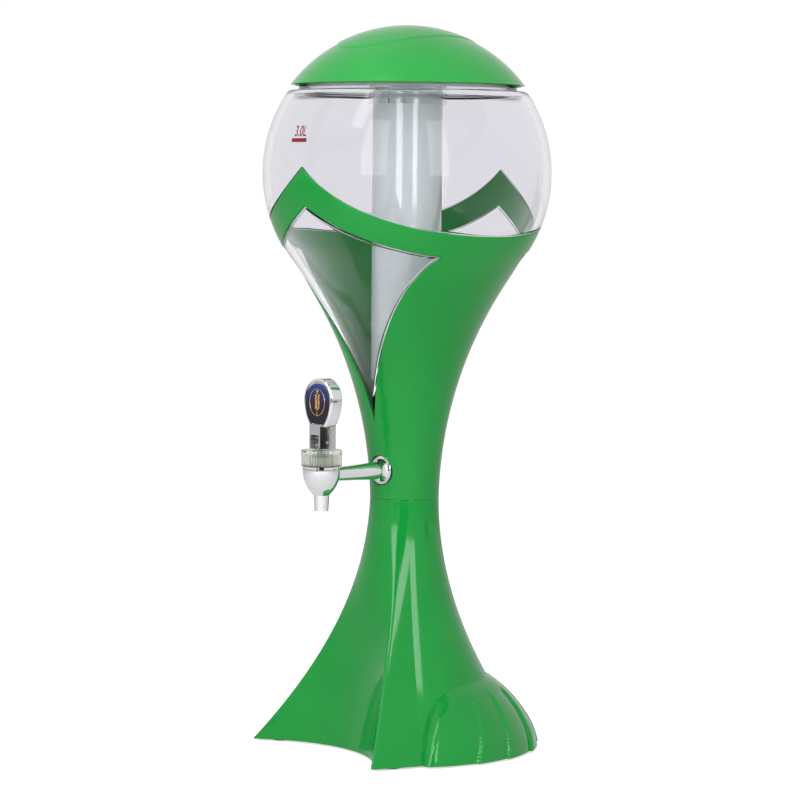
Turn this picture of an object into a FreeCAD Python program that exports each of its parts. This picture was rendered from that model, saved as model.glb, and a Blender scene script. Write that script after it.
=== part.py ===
import FreeCAD, Part
import math
import os
import re
import Sketcher

# A drink tower: a flared pedestal, a goblet-shaped cup with two V windows round a clear globe,
# a domed lid that carries an ice tube, and a lever tap on the front.
# Up is +Z, the tap points to -Y, and the origin is on the table under the globe's centre.

Vector = FreeCAD.Vector
document = FreeCAD.newDocument("drink_tower")
sizes = document.addObject("Spreadsheet::Sheet", "sizes")

SIZES = [
    # globe and goblet
    ("globe_radius", 104, "outside of the globe"),
    ("globe_height", 415, "centre of the globe above the table"),
    ("waist_radius", 25, "narrowest part of the tower"),
    ("trumpet_radius", 295, "curve from the waist up to the globe"),
    ("seam_height", 181, "joint between pedestal and goblet"),
    ("shell_wall", 2.4, "wall of the goblet"),
    ("shell_floor", 3.6, "thickness of the goblet's bottom"),
    ("glass_wall", 2.6, "wall of the vessel"),
    ("shell_gap", 0.3, "air between goblet and vessel"),
    ("crest_rise", 3.5, "peak of the rim above the globe's centre, front and back"),
    ("rim_middle_reach", 49.2, "half way down the rim, from the middle"),
    ("rim_middle_drop", 28.5, "rim there, below the globe's centre"),
    ("rim_side_reach", 94.2, "where the rim becomes level"),
    ("rim_side_drop", 44, "lowest part of the rim, below the globe's centre"),
    ("window_peak_drop", 23.5, "upper point of a window, below the globe's centre"),
    ("window_top_reach", 37.2, "half way along the upper edge"),
    ("window_top_drop", 43.8, "upper edge there, below the globe's centre"),
    ("window_corner_reach", 75.6, "outer corner of a window"),
    ("window_corner_drop", 58.2, "that corner, below the globe's centre"),
    ("window_side_reach", 34.7, "half way along the lower edge"),
    ("window_side_drop", 100.2, "lower edge there, below the globe's centre"),
    ("window_foot_drop", 177, "lower point of a window, below the globe's centre"),
    # vessel
    ("shoulder_rise", 58.5, "shoulder under the lid, above the globe's centre"),
    ("neck_radius", 78.5, "outside of the vessel's neck"),
    ("neck_height", 6.7, "neck above the shoulder"),
    ("vessel_floor", 6, "thickness of the vessel's bottom"),
    ("stud_radius", 8.8, "threaded stud under the vessel"),
    ("stud_length", 25, "length of that stud"),
    ("stud_clearance", 0.25, "air round the stud"),
    ("clamp_washer_radius", 15, "washer on the stud"),
    ("clamp_washer_thickness", 1.2, "thickness of that washer"),
    ("clamp_nut_radius", 14, "clamp nut across its corners, halved"),
    ("clamp_nut_height", 8, "height of the clamp nut"),
    # lid
    ("lid_radius", 105.2, "outside of the domed lid"),
    ("lid_wall", 2.4, "wall of the lid"),
    ("lid_rim_rise", 63, "lower edge of the lid, above the globe's centre"),
    ("oval_rise", 0.7, "how far the oval field stands proud"),
    ("oval_long", 58.3, "half length of the oval field"),
    ("oval_wide", 41.5, "half width of the oval field"),
    ("lid_gap", 0.3, "air under the liner's plate"),
    ("liner_thickness", 2, "plate of the liner"),
    ("liner_play", 0.4, "air between liner and lid"),
    ("skirt_depth", 8, "how far the liner reaches into the mouth"),
    ("skirt_wall", 3, "wall of that skirt"),
    ("skirt_clearance", 0.5, "air between skirt and mouth"),
    ("seal_height", 2.6, "height of the lid's seal"),
    ("seal_depth", 1.6, "depth of the seal in its groove"),
    ("seal_clearance", 0.08, "play of the seal"),
    # ice tube
    ("tube_radius", 25.2, "outside of the ice tube"),
    ("tube_wall", 1.8, "wall of the ice tube"),
    ("tube_length", 216, "length of the ice tube"),
    ("tube_corner", 7, "rounding at the tube's bottom"),
    ("tube_clearance", 0.4, "air between tube and socket"),
    ("tube_seal_height", 1.8, "height of the tube's seal"),
    ("collar_wall", 2.6, "wall of the socket"),
    ("collar_depth", 16, "depth of the socket"),
    ("lug_reach", 1.3, "how far a lug stands out of the tube"),
    ("lug_height", 2.4, "height of a lug"),
    ("lug_drop", 8, "from the tube's mouth to its lugs"),
    ("lug_angle", 24, "width of a lug in degrees"),
    ("lug_turn", 60, "turn from locked to free in degrees"),
    ("lug_play", 2, "room on each side of a lug in degrees"),
    # tap
    ("tap_reach", 82.8, "from the tower's axis to the tap's axis"),
    ("tap_rise", 20.8, "shank above the joint between pedestal and goblet"),
    ("tap_hole_radius", 10.8, "hole in the goblet"),
    ("boss_radius", 11.2, "boss for the tap on the vessel"),
    ("boss_reach", 21, "outer face of that boss"),
    ("boss_depth", 5, "thickness of that boss"),
    ("shank_thread_radius", 6, "threaded end of the shank"),
    ("shank_clearance", 0.2, "air round the thread"),
    ("shank_bore", 2.6, "radius of the passage"),
    ("gasket_thickness", 1.5, "both gaskets"),
    ("gasket_radius", 9, "both gaskets"),
    ("escutcheon_radius", 10.1, "ring in the hole"),
    ("escutcheon_thickness", 1.6, "thickness of that ring"),
    ("escutcheon_clearance", 0.3, "air round that ring"),
    ("shank_flare_radius", 8.2, "shank at the ring"),
    ("shank_root_radius", 6.3, "shank just outside the goblet"),
    ("shank_flare_length", 5.5, "length of the flare"),
    ("shank_flare_bulge", 0.4, "how much thicker it is near its middle"),
    ("shank_flare_middle", 0.45, "that place, as a share of the flare"),
    ("shank_cup_overlap", 3, "shank's even end before the cup's wall"),
    ("shank_inner_end", 5, "shank's end before the tap's axis"),
    ("shank_tip_radius", 4.9, "shank at the cup"),
    ("shank_nut_radius", 8.4, "nut across its corners, halved"),
    ("shank_nut_height", 5, "height of that nut"),
    ("cup_radius", 13.4, "outside of the tap's cup"),
    ("cup_rise", 6.6, "top of the cup above the shank"),
    ("cup_belly_radius", 11.9, "cup where it starts to close"),
    ("cup_belly_drop", 4.4, "that place, below the shank"),
    ("cup_bore", 10.6, "inside of the cup"),
    ("cup_bore_belly", 9, "inside where it starts to close"),
    ("seat_radius", 5.5, "flat seat in the cup"),
    ("seat_drop", 10.8, "seat below the shank"),
    ("spout_top_radius", 5.6, "top of the spout"),
    ("spout_top_drop", 14, "where cup and spout meet, below the shank"),
    ("spout_radius", 5, "spout at its mouth"),
    ("spout_drop", 25.2, "mouth of the spout, below the shank"),
    ("spout_bore_top", 3.2, "radius of the bore at the seat"),
    ("spout_bore", 3.9, "radius of the bore at the mouth"),
    ("bonnet_gap", 0.3, "air under the cap's collar"),
    ("bonnet_radius", 13.8, "ribbed collar of the cap"),
    ("collar_height", 8.7, "ribbed collar of the cap"),
    ("bonnet_rib_radius", 0.5, "ribs on the collar"),
    ("bonnet_ribs", 48, "how many ribs"),
    ("flange_radius", 14.7, "flange of the cap"),
    ("flange_thickness", 2.5, "thickness of that flange"),
    ("bonnet_wall", 1.6, "wall of the cap's sleeve"),
    ("bonnet_roof", 3.2, "roof of the cap under the flange's top"),
    ("sleeve_clearance", 0.15, "air round the sleeve in the cup"),
    ("sleeve_depth", 3.4, "sleeve below the cup's top"),
    ("stem_radius", 3.3, "stem of the plunger"),
    ("stem_clearance", 0.1, "play of the stem"),
    ("disc_thickness", 2, "guide disc of the plunger"),
    ("disc_clearance", 0.4, "air round the guide disc"),
    ("disc_rise", 2.2, "guide disc above the sleeve's lower end"),
    ("plug_radius", 4.8, "soft plug on the seat"),
    ("plug_height", 6, "height of the plug"),
    ("plug_gap", 0.3, "plug above the seat"),
    ("plug_chamfer", 1, "bevel at the plug's foot"),
    ("stem_foot", 2.2, "how deep the stem sits in the plug"),
    ("stem_foot_radius", 2, "foot of the stem in the plug"),
    ("stem_seal_wall", 2, "ring under the cap's roof, across and high"),
    ("bonnet_seal_inset", 0.4, "inner edge of the cap's ring, as a share of the sleeve's wall"),
    # lever
    ("lever_gap", 0.3, "air under the lever"),
    ("pin_rise", 5.2, "pin above the lever's lower face"),
    ("pin_radius", 1.2, "lever pin"),
    ("pin_clearance", 0.05, "play of the pin"),
    ("cam_rate", 3, "lift of the lever per radian"),
    ("tilt_angle", 40, "how far the lever tilts, in degrees"),
    ("neck_width", 11, "lever below its head"),
    ("neck_back", 8.4, "neck behind the pin"),
    ("cheek", 1.2, "walls beside the slot"),
    ("slot_rise", 5.4, "slot above the pin"),
    ("slot_back", 5.6, "slot behind the pin"),
    ("tongue_play", 0.3, "air on each side of the plunger's head"),
    ("tongue_half_depth", 2.7, "plunger's head, front to back, halved"),
    ("tongue_rise", 3.8, "plunger's head above the pin"),
    ("head_rise", 11.3, "lower end of the lever's head above the pin"),
    ("head_base_width", 16.4, "width of the head at its lower end"),
    ("head_width", 29, "width of the head"),
    ("head_height", 33.9, "lever's head"),
    ("head_front", 4.6, "front of the head before the pin"),
    ("head_depth", 11, "thickness of the head"),
    ("head_round", 1.6, "rounding of the head"),
    ("badge_rim", 2, "chromed rim round the badge"),
    ("badge_lift", 1.4, "badge above the head's base"),
    ("badge_thickness", 1.2, "badge"),
    ("badge_recess", 1, "depth of its recess"),
    ("badge_clearance", 0.1, "air round the badge"),
    # pedestal
    ("base_turn", 7, "how far the pedestal is screwed round, in degrees"),
    ("base_lift", 1.5, "lower edge above the table"),
    ("base_wall", 2.5, "wall of the pedestal"),
    ("base_roof", 4, "top plate of the pedestal"),
    ("base_spread", 70.5, "how far the trumpet flares at the table"),
    ("base_curve", 2, "power by which it flares downward"),
    ("fin_spread", 16.5, "how far a fin reaches past the trumpet"),
    ("fin_curve", 1.5, "power by which a fin grows downward"),
    ("fin_lean", 1.6, "inset of a fin's narrow inner corner, in walls"),
    ("fin_angle", 40.4, "fin from the middle of the scoop, in degrees"),
    ("crease_angle", 61, "crease beside a fin, in degrees"),
    ("scoop_radius", 52, "middle of the scoop at the table"),
    ("scoop_curve", 1.2, "power by which the scoop widens downward"),
    ("lobe_radius", 99.6, "ribbed lobe at the table"),
    ("lobe_bend_radius", 91, "lobe where it turns inward"),
    ("lobe_bend_height", 22.6, "height there"),
    ("lobe_crown_radius", 79.4, "lobe half way up its slope"),
    ("lobe_crown_height", 37.4, "height there"),
    ("lobe_top_radius", 61, "top of the lobe"),
    ("lobe_top_height", 52, "height of the top"),
    ("lobe_side_share", 0.68, "how much of the table's radius the side keeps half way to its bend"),
    ("lobe_bend_slope", 0.5, "how far the inner bend drops, in walls"),
    ("lobe_crown_slope", 0.7, "how far the inner slope drops, in walls"),
    ("lobe_end_skew", 20, "slant of the lobe's ends, in degrees"),
    ("lobe_end_lead", 0.2, "how far an end's cut starts outside, in lobe radii"),
    ("rib_step", 1.3, "height of a rib's step"),
    ("rib_skew", 24, "slant of a rib, in degrees"),
    ("rib_reach", 0.55, "how far a rib's plate goes inward, as a share of its cut"),
    ("cover_thickness", 2.4, "plate under the pedestal"),
    ("cover_lift", 0.5, "plate above the lower edge"),
    ("cover_gap", 0.4, "air round the plate"),
    ("post_radius", 4, "screw post"),
    ("post_reach", 78, "screw post from the axis"),
    ("screw_radius", 1.4, "screw"),
    ("screw_head_radius", 2.8, "screw head"),
    ("screw_head_height", 1.5, "screw head"),
    ("screw_length", 14, "screw below its head"),
    ("screw_clearance", 0.1, "air round a screw"),
    ("screw_bite", 0.02, "play of a screw in its post"),
    ("screw_tip_gap", 1, "air past a screw's tip"),
    ("foot_radius", 7, "rubber foot"),
    ("foot_reach", 90, "rubber foot from the axis"),
    ("foot_recess", 0.6, "foot's recess in the plate"),
]

# Where ribs, screws and feet stand, in degrees from the middle of the scoop, on each side.
RIB_ANGLES = (85, 104.5, 121.6, 150)
POST_ANGLES = (80, 150)
FOOT_ANGLES = (47, 135)

for row, (name, number, meaning) in enumerate(SIZES, start=1):
    sizes.set(f"A{row}", meaning)
    sizes.set(f"B{row}", str(number))
    sizes.setAlias(f"B{row}", name)
document.recompute()

NAMES = {name for name, number, meaning in SIZES}

# Heights above the table, as they follow from the sizes.
HEIGHTS = {
    "crest_height": "(globe_height + crest_rise)",
    "rim_middle_height": "(globe_height - rim_middle_drop)",
    "rim_side_height": "(globe_height - rim_side_drop)",
    "window_peak": "(globe_height - window_peak_drop)",
    "window_top_height": "(globe_height - window_top_drop)",
    "window_corner_height": "(globe_height - window_corner_drop)",
    "window_side_height": "(globe_height - window_side_drop)",
    "window_foot": "(globe_height - window_foot_drop)",
    "shoulder_height": "(globe_height + shoulder_rise)",
    "mouth_height": "(shoulder_height + neck_height)",
    "lid_rim_height": "(globe_height + lid_rim_rise)",
    "tap_height": "(seam_height + tap_rise)",
    "cup_height": "(tap_height + cup_rise)",
    "cup_belly_height": "(tap_height - cup_belly_drop)",
    "seat_height": "(tap_height - seat_drop)",
    "spout_top_height": "(tap_height - spout_top_drop)",
    "spout_height": "(tap_height - spout_drop)",
    "bonnet_height": "(cup_height + bonnet_gap + collar_height)",
    "sleeve_height": "(cup_height - sleeve_depth)",
    "disc_height": "(sleeve_height + disc_rise)",
    "pin_height": "(bonnet_height + flange_thickness + lever_gap + pin_rise)",
    "head_base": "(pin_height + head_rise)",
    "head_top": "(head_base + head_height)",
}


def bound(expression):
    """The expression with each height written out and each size's name pointed at the sheet."""
    while set(re.findall(r"[a-z_]+", expression)) & set(HEIGHTS):
        expression = re.sub(r"[a-z_]+", lambda word: HEIGHTS.get(word[0], word[0]), expression)
    return re.sub(r"[a-z_]+", lambda word: "sizes." + word[0] if word[0] in NAMES else word[0], expression)


def value(expression):
    """The expression's number, in millimetres or degrees."""
    return float(sizes.evalExpression(bound(expression)))


def spot(across, up):
    return Vector(value(across), value(up), 0)


# The goblet's outline: an arc of the globe and an arc of the trumpet, tangent to each other.

DROP = "sqrt((globe_radius + trumpet_radius)^2 - (waist_radius + trumpet_radius)^2)"
TRUMPET_HEIGHT = f"(globe_height - {DROP})"


def globe_at(height, inset="0"):
    """Radius of the globe at a height, moved inward by the inset."""
    return f"sqrt((globe_radius - ({inset}))^2 - (({height}) - globe_height)^2)"


def trumpet_at(height, inset="0"):
    """Radius of the trumpet at a height, moved inward by the inset."""
    return (f"(waist_radius + trumpet_radius - sqrt((trumpet_radius + ({inset}))^2"
            f" - (({height}) - {TRUMPET_HEIGHT})^2))")


def blend_height(inset="0"):
    """Height where trumpet and globe touch."""
    return f"(globe_height - (globe_radius - ({inset})) * {DROP} / (globe_radius + trumpet_radius))"


def goblet_line(bottom, top, inset="0"):
    """The goblet's outline from bottom to top: the start point, then two arcs."""
    blend = blend_height(inset)
    low_middle = f"(({bottom}) + {blend}) / 2"
    high_middle = f"({blend} + ({top})) / 2"
    return [
        (trumpet_at(bottom, inset), bottom),
        (trumpet_at(low_middle, inset), low_middle, globe_at(blend, inset), blend),
        (globe_at(high_middle, inset), high_middle, globe_at(top, inset), top),
    ]


def goblet_line_down(top, bottom, inset="0"):
    """The same outline from top to bottom."""
    start, low_arc, high_arc = goblet_line(bottom, top, inset)
    return [
        high_arc[2:],
        high_arc[:2] + low_arc[2:],
        low_arc[:2] + start,
    ]


# Sketches and bodies.

def new_body(label):
    body = document.addObject("PartDesign::Body", label)
    body.Label = label
    return body


def origin_plane(body, role):
    return [feature for feature in body.Origin.OriginFeatures if feature.Role == role][0]


def pin_down(sketch, element, vertex, across, up):
    """Tie one point of a sketch to the sheet."""
    for kind, expression in (("DistanceX", across), ("DistanceY", up)):
        constraint = sketch.addConstraint(Sketcher.Constraint(kind, -1, 1, element, vertex, value(expression)))
        if "sizes." in bound(expression):
            sketch.setExpression(f"Constraints[{constraint}]", bound(expression))


def arc_through(start, middle, end):
    """A circular arc and whether it runs anticlockwise from start to end."""
    circle = Part.Circle(start, middle, end)
    centre = circle.Center
    angles = [math.atan2(point.y - centre.y, point.x - centre.x) for point in (start, middle, end)]
    forward = [(angle - angles[0]) % math.tau for angle in angles]
    anticlockwise = forward[1] < forward[2]
    first, last = (angles[0], angles[2]) if anticlockwise else (angles[2], angles[0])
    if last < first:
        last += math.tau
    return Part.ArcOfCircle(Part.Circle(centre, Vector(0, 0, 1), circle.Radius), first, last), anticlockwise


def draw(sketch, outline):
    """Draw a closed outline. Two entries are a line to that point, four an arc through one to the other."""
    ends = []
    for index, step in enumerate(outline):
        start = spot(*outline[index - 1][-2:])
        end = spot(*step[-2:])
        if len(step) == 2:
            element = sketch.addGeometry(Part.LineSegment(start, end), False)
            ends.append((element, 1, 2))
        else:
            arc, anticlockwise = arc_through(start, spot(*step[:2]), end)
            element = sketch.addGeometry(arc, False)
            ends.append((element, 1, 2) if anticlockwise else (element, 2, 1))
    for index, (element, first, last) in enumerate(ends):
        following = ends[(index + 1) % len(ends)]
        sketch.addConstraint(Sketcher.Constraint("Coincident", element, last, following[0], following[1]))
    for (element, first, last), step in zip(ends, outline):
        pin_down(sketch, element, last, *step[-2:])
        if len(step) == 4:
            middle = sketch.addGeometry(Part.Point(spot(*step[:2])), True)
            sketch.addConstraint(Sketcher.Constraint("PointOnObject", middle, 1, element))
            pin_down(sketch, middle, 1, *step[:2])


def new_sketch(body, role, name, outline=None, circles=(), offset=None):
    """A sketch on one of the body's origin planes, moved along the plane's normal by the offset."""
    sketch = body.newObject("Sketcher::SketchObject", name)
    sketch.AttachmentSupport = [(origin_plane(body, role), "")]
    sketch.MapMode = "FlatFace"
    if offset is not None:
        sketch.setExpression("AttachmentOffset.Base.z", bound(offset))
    if outline:
        draw(sketch, outline)
    for across, up, radius in circles:
        element = sketch.addGeometry(Part.Circle(spot(across, up), Vector(0, 0, 1), value(radius)), False)
        constraint = sketch.addConstraint(Sketcher.Constraint("Radius", element, value(radius)))
        sketch.setExpression(f"Constraints[{constraint}]", bound(radius))
        pin_down(sketch, element, 3, across, up)
    return sketch


def turned(body, name, outline):
    """A revolution of a closed outline (radius, height) round the body's own vertical axis."""
    sketch = new_sketch(body, "XZ_Plane", name + "_outline", outline)
    feature = body.newObject("PartDesign::Revolution", name)
    feature.Profile = sketch
    feature.ReferenceAxis = (sketch, ["V_Axis"])
    feature.Angle = 360
    return feature


def padded(body, name, sketch, length, symmetric=False, reverse=False):
    feature = body.newObject("PartDesign::Pad", name)
    feature.Profile = sketch
    feature.setExpression("Length", bound(length))
    feature.SideType = "Symmetric" if symmetric else "One side"
    feature.Reversed = reverse
    return feature


def cut_through(body, name, sketch, symmetric=True, reverse=False):
    feature = body.newObject("PartDesign::Pocket", name)
    feature.Profile = sketch
    feature.Type = "ThroughAll"
    feature.SideType = "Symmetric" if symmetric else "One side"
    feature.Reversed = reverse
    return feature


def cut_deep(body, name, sketch, length, reverse=False):
    feature = body.newObject("PartDesign::Pocket", name)
    feature.Profile = sketch
    feature.setExpression("Length", bound(length))
    feature.Reversed = reverse
    return feature


def combined(kind, label, *objects):
    """A document boolean: Part::Cut of two objects, or Part::MultiFuse of several."""
    feature = document.addObject(kind, label)
    feature.Label = label
    if kind == "Part::Cut":
        feature.Base, feature.Tool = objects
    else:
        feature.Shapes = list(objects)
    return feature


def at_tap(body):
    """Move a body, drawn round its own axis, to the tap's axis."""
    body.setExpression("Placement.Base.y", "-sizes.tap_reach")
    return body


# Goblet.

# Cuts start at this many globe radii from the axis, outside everything.
OUTSIDE = 1.2


def rim_outline(rise, far):
    """All between the rim and a height above or below it, from the front. The rise moves the rim's line up."""
    side = f"globe_radius * {OUTSIDE}"
    return [
        (side, f"rim_side_height + {rise}"),
        (side, far),
        (f"-{side}", far),
        (f"-{side}", f"rim_side_height + {rise}"),
        ("-rim_side_reach", f"rim_side_height + {rise}"),
        ("-rim_middle_reach", f"rim_middle_height + {rise}", "0", f"crest_height + {rise}"),
        ("rim_middle_reach", f"rim_middle_height + {rise}", "rim_side_reach", f"rim_side_height + {rise}"),
    ]


def window_outline():
    """One window, seen from the front: two arcs meet in a peak above, two more in a point below."""
    return [
        ("-window_top_reach", "window_top_height", "-window_corner_reach", "window_corner_height"),
        ("-window_side_reach", "window_side_height", "0", "window_foot"),
        ("window_side_reach", "window_side_height", "window_corner_reach", "window_corner_height"),
        ("window_top_reach", "window_top_height", "0", "window_peak"),
    ]


def make_cup_shell():
    body = new_body("cup_shell")
    top = "crest_height + shell_wall"
    floor = "seam_height + shell_floor"
    outer = goblet_line("seam_height", top)
    inner = goblet_line_down(top, floor, "shell_wall")
    bore = "stud_radius + stud_clearance"
    turned(body, "goblet", outer + inner + [(bore, floor), (bore, "seam_height")])
    rim = new_sketch(body, "XZ_Plane", "rim_line", rim_outline("0", "crest_height + globe_radius"))
    cut_through(body, "rim", rim)
    window = new_sketch(body, "XZ_Plane", "window_line", window_outline())
    cut_through(body, "windows", window)
    hole = new_sketch(body, "XZ_Plane", "tap_hole_line", circles=[("0", "tap_height", "tap_hole_radius")])
    cut_through(body, "tap_hole", hole, symmetric=False, reverse=True)
    return body


# Vessel: a low wall that lies inside the goblet and a high wall that is flush with it, with a ledge
# along the rim between them.

LOW_INSET = "shell_wall + shell_gap"
VESSEL_BOTTOM = "seam_height + shell_floor"
VESSEL_FLOOR = "seam_height + shell_floor + vessel_floor"


def make_vessel():
    outside_low = new_body("vessel_outside_low")
    low_line = goblet_line(VESSEL_BOTTOM, "shoulder_height - glass_wall", LOW_INSET)
    stud_end = "seam_height + shell_floor - stud_length"
    turned(outside_low, "funnel_outside", low_line + [
        ("0", "shoulder_height - glass_wall"), ("0", stud_end), ("stud_radius", stud_end),
        ("stud_radius", VESSEL_BOTTOM)])

    outside_high = new_body("vessel_outside_high")
    high_line = goblet_line(VESSEL_BOTTOM, "shoulder_height")
    turned(outside_high, "globe_outside", high_line + [
        ("neck_radius", "shoulder_height"), ("neck_radius", "mouth_height"),
        ("0", "mouth_height"), ("0", VESSEL_BOTTOM)])
    below = new_sketch(outside_high, "XZ_Plane", "below_rim_line", rim_outline("shell_gap", "0"))
    cut_through(outside_high, "below_rim", below)

    inside_low = new_body("vessel_inside_low")
    inner_line = goblet_line(VESSEL_FLOOR, "shoulder_height - 2 * glass_wall", LOW_INSET + " + glass_wall")
    turned(inside_low, "funnel_inside", inner_line + [
        ("0", "shoulder_height - 2 * glass_wall"), ("0", VESSEL_FLOOR)])

    inside_high = new_body("vessel_inside_high")
    upper_line = goblet_line(VESSEL_FLOOR, "shoulder_height - glass_wall", "glass_wall")
    mouth = "neck_radius - glass_wall"
    above = "mouth_height + glass_wall"
    turned(inside_high, "globe_inside", upper_line + [
        (mouth, "shoulder_height - glass_wall"), (mouth, above), ("0", above), ("0", VESSEL_FLOOR)])
    below = new_sketch(inside_high, "XZ_Plane", "below_ledge_line", rim_outline("shell_gap + glass_wall", "0"))
    cut_through(inside_high, "below_ledge", below)

    outside = combined("Part::MultiFuse", "vessel_outside", outside_low, outside_high)
    inside = combined("Part::MultiFuse", "vessel_inside", inside_low, inside_high)
    wall = combined("Part::Cut", "vessel_wall", outside, inside)

    boss = new_body("tap_boss")
    circle = new_sketch(boss, "XZ_Plane", "boss_line", circles=[("0", "tap_height", "boss_radius")],
                        offset="boss_reach")
    padded(boss, "boss", circle, "boss_depth", reverse=True)
    with_boss = combined("Part::MultiFuse", "vessel_with_boss", wall, boss)

    passage = new_body("tap_passage")
    face = new_sketch(passage, "XZ_Plane", "spot_face_line",
                      circles=[("0", "tap_height", "escutcheon_radius + escutcheon_clearance")],
                      offset="boss_reach")
    padded(passage, "spot_face", face, "boss_radius")
    bore = new_sketch(passage, "XZ_Plane", "thread_hole_line",
                      circles=[("0", "tap_height", "shank_thread_radius + shank_clearance")],
                      offset="boss_reach - boss_depth - glass_wall")
    padded(passage, "thread_hole", bore, "boss_depth + glass_wall * 2")
    return combined("Part::Cut", "vessel", with_boss, passage)


def hexagon(radius):
    """A hexagon round the axis with its corners at the radius."""
    return [(f"cos({angle}) * {radius}", f"sin({angle}) * {radius}") for angle in range(0, 360, 60)]


def make_clamp():
    """Washer and nut under the pedestal's top plate."""
    bore = "stud_radius + stud_clearance"
    roof = "seam_height - base_roof"
    washer = new_body("clamp_washer")
    turned(washer, "washer_ring", [
        ("clamp_washer_radius", roof), ("clamp_washer_radius", f"{roof} - clamp_washer_thickness"),
        (bore, f"{roof} - clamp_washer_thickness"), (bore, roof)])
    nut = new_body("clamp_nut")
    sketch = new_sketch(nut, "XY_Plane", "nut_line", hexagon("clamp_nut_radius"),
                        circles=[("0", "0", bore)], offset=f"{roof} - clamp_washer_thickness")
    padded(nut, "nut", sketch, "clamp_nut_height", reverse=True)
    return washer, nut


# Lid and ice tube.

def dome_at(height, inset="0"):
    """Radius of the lid's dome at a height."""
    return f"sqrt((lid_radius - ({inset}))^2 - (({height}) - globe_height)^2)"


def dome_step(inset, start_height, end_height, end_radius="0"):
    """An arc of the dome between two heights; the end may lie on the axis."""
    middle = f"(({start_height}) + ({end_height})) / 2"
    return (dome_at(middle, inset), middle, end_radius, end_height)


def make_lid_dome():
    body = new_body("lid_dome")
    apex = "globe_height + lid_radius"
    inner_apex = "globe_height + lid_radius - lid_wall"
    turned(body, "dome", [
        (dome_at("lid_rim_height"), "lid_rim_height"),
        dome_step("0", "lid_rim_height", apex),
        ("0", inner_apex),
        dome_step("lid_wall", inner_apex, "lid_rim_height", dome_at("lid_rim_height", "lid_wall")),
    ])
    oval = new_body("oval_field")
    turned(oval, "field", [
        (dome_at("lid_rim_height", "-oval_rise"), "lid_rim_height"),
        dome_step("-oval_rise", "lid_rim_height", f"{apex} + oval_rise"),
        ("0", f"{apex} - lid_wall / 2"),
        dome_step("lid_wall / 2", f"{apex} - lid_wall / 2", "lid_rim_height",
                  dome_at("lid_rim_height", "lid_wall / 2")),
    ])
    ellipse = document.addObject("Part::Ellipse", "oval_line")
    ellipse.setExpression("MajorRadius", "sizes.oval_long")
    ellipse.setExpression("MinorRadius", "sizes.oval_wide")
    ellipse.setExpression("Placement.Base.z", bound("lid_rim_height"))
    ellipse.Placement.Rotation = FreeCAD.Rotation(Vector(0, 0, 1), 90)
    prism = document.addObject("Part::Extrusion", "oval_prism")
    prism.Base = ellipse
    prism.DirMode = "Custom"
    prism.Dir = Vector(0, 0, 1)
    prism.setExpression("LengthFwd", "sizes.lid_radius")
    prism.Solid = True
    field = document.addObject("Part::Common", "raised_field")
    field.Base = oval
    field.Tool = prism
    body.Label = "plain_dome"
    dome = combined("Part::MultiFuse", "whole_dome", body, field)
    dome.Label = "lid_dome"
    return dome


PLATE_LOW = "mouth_height + lid_gap"
PLATE_HIGH = "mouth_height + lid_gap + liner_thickness"
TUBE_TOP = "mouth_height + lid_gap - tube_seal_height - tube_clearance"
SOCKET = "tube_radius + tube_clearance"
LUG_TOP = f"{TUBE_TOP} - lug_drop"
LUG_LOW = f"{TUBE_TOP} - lug_drop - lug_height"
SKIRT_OUT = "neck_radius - glass_wall - skirt_clearance"


def make_lid_liner():
    body = new_body("lid_liner")
    skirt_low = f"{PLATE_LOW} - skirt_depth"
    groove_top = f"{PLATE_LOW} - skirt_depth / 2 + seal_height / 2"
    groove_low = f"{PLATE_LOW} - skirt_depth / 2 - seal_height / 2"
    groove = f"{SKIRT_OUT} - seal_depth"
    collar_low = f"{PLATE_LOW} - collar_depth"
    plate = f"{dome_at(PLATE_HIGH, 'lid_wall')} - liner_play"
    lug_room = "tube_radius + lug_reach + tube_clearance"
    turned(body, "liner", [
        ("0", PLATE_HIGH), (plate, PLATE_HIGH), (plate, PLATE_LOW), (SKIRT_OUT, PLATE_LOW),
        (SKIRT_OUT, groove_top), (groove, groove_top), (groove, groove_low), (SKIRT_OUT, groove_low),
        (SKIRT_OUT, skirt_low), (f"{SKIRT_OUT} - skirt_wall", skirt_low), (f"{SKIRT_OUT} - skirt_wall", PLATE_LOW),
        ("tube_radius + tube_clearance + collar_wall", PLATE_LOW),
        ("tube_radius + tube_clearance + collar_wall", collar_low), (SOCKET, collar_low),
        (SOCKET, f"{LUG_LOW} - tube_clearance"), (lug_room, f"{LUG_LOW} - tube_clearance"),
        (lug_room, f"{LUG_TOP} + tube_clearance"), (SOCKET, f"{LUG_TOP} + tube_clearance"),
        (SOCKET, PLATE_LOW), ("0", PLATE_LOW)])
    entry = new_sketch(body, "XY_Plane", "entry_line", wedge_outline("lug_turn", lug_room), offset=collar_low)
    slot = body.newObject("PartDesign::Pocket", "entry_slot")
    slot.Profile = entry
    slot.setExpression("Length", bound(f"{LUG_LOW} - ({collar_low})"))
    slot.Reversed = True
    repeated(body, slot, entry, "entry_slots")
    seal = new_body("lid_seal")
    outside = "neck_radius - glass_wall - seal_clearance"
    turned(seal, "seal", [
        (f"{groove} + seal_clearance", f"{groove_low} + seal_clearance"),
        (outside, f"{groove_low} + seal_clearance"), (outside, f"{groove_top} - seal_clearance"),
        (f"{groove} + seal_clearance", f"{groove_top} - seal_clearance")])
    return body, seal


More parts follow.
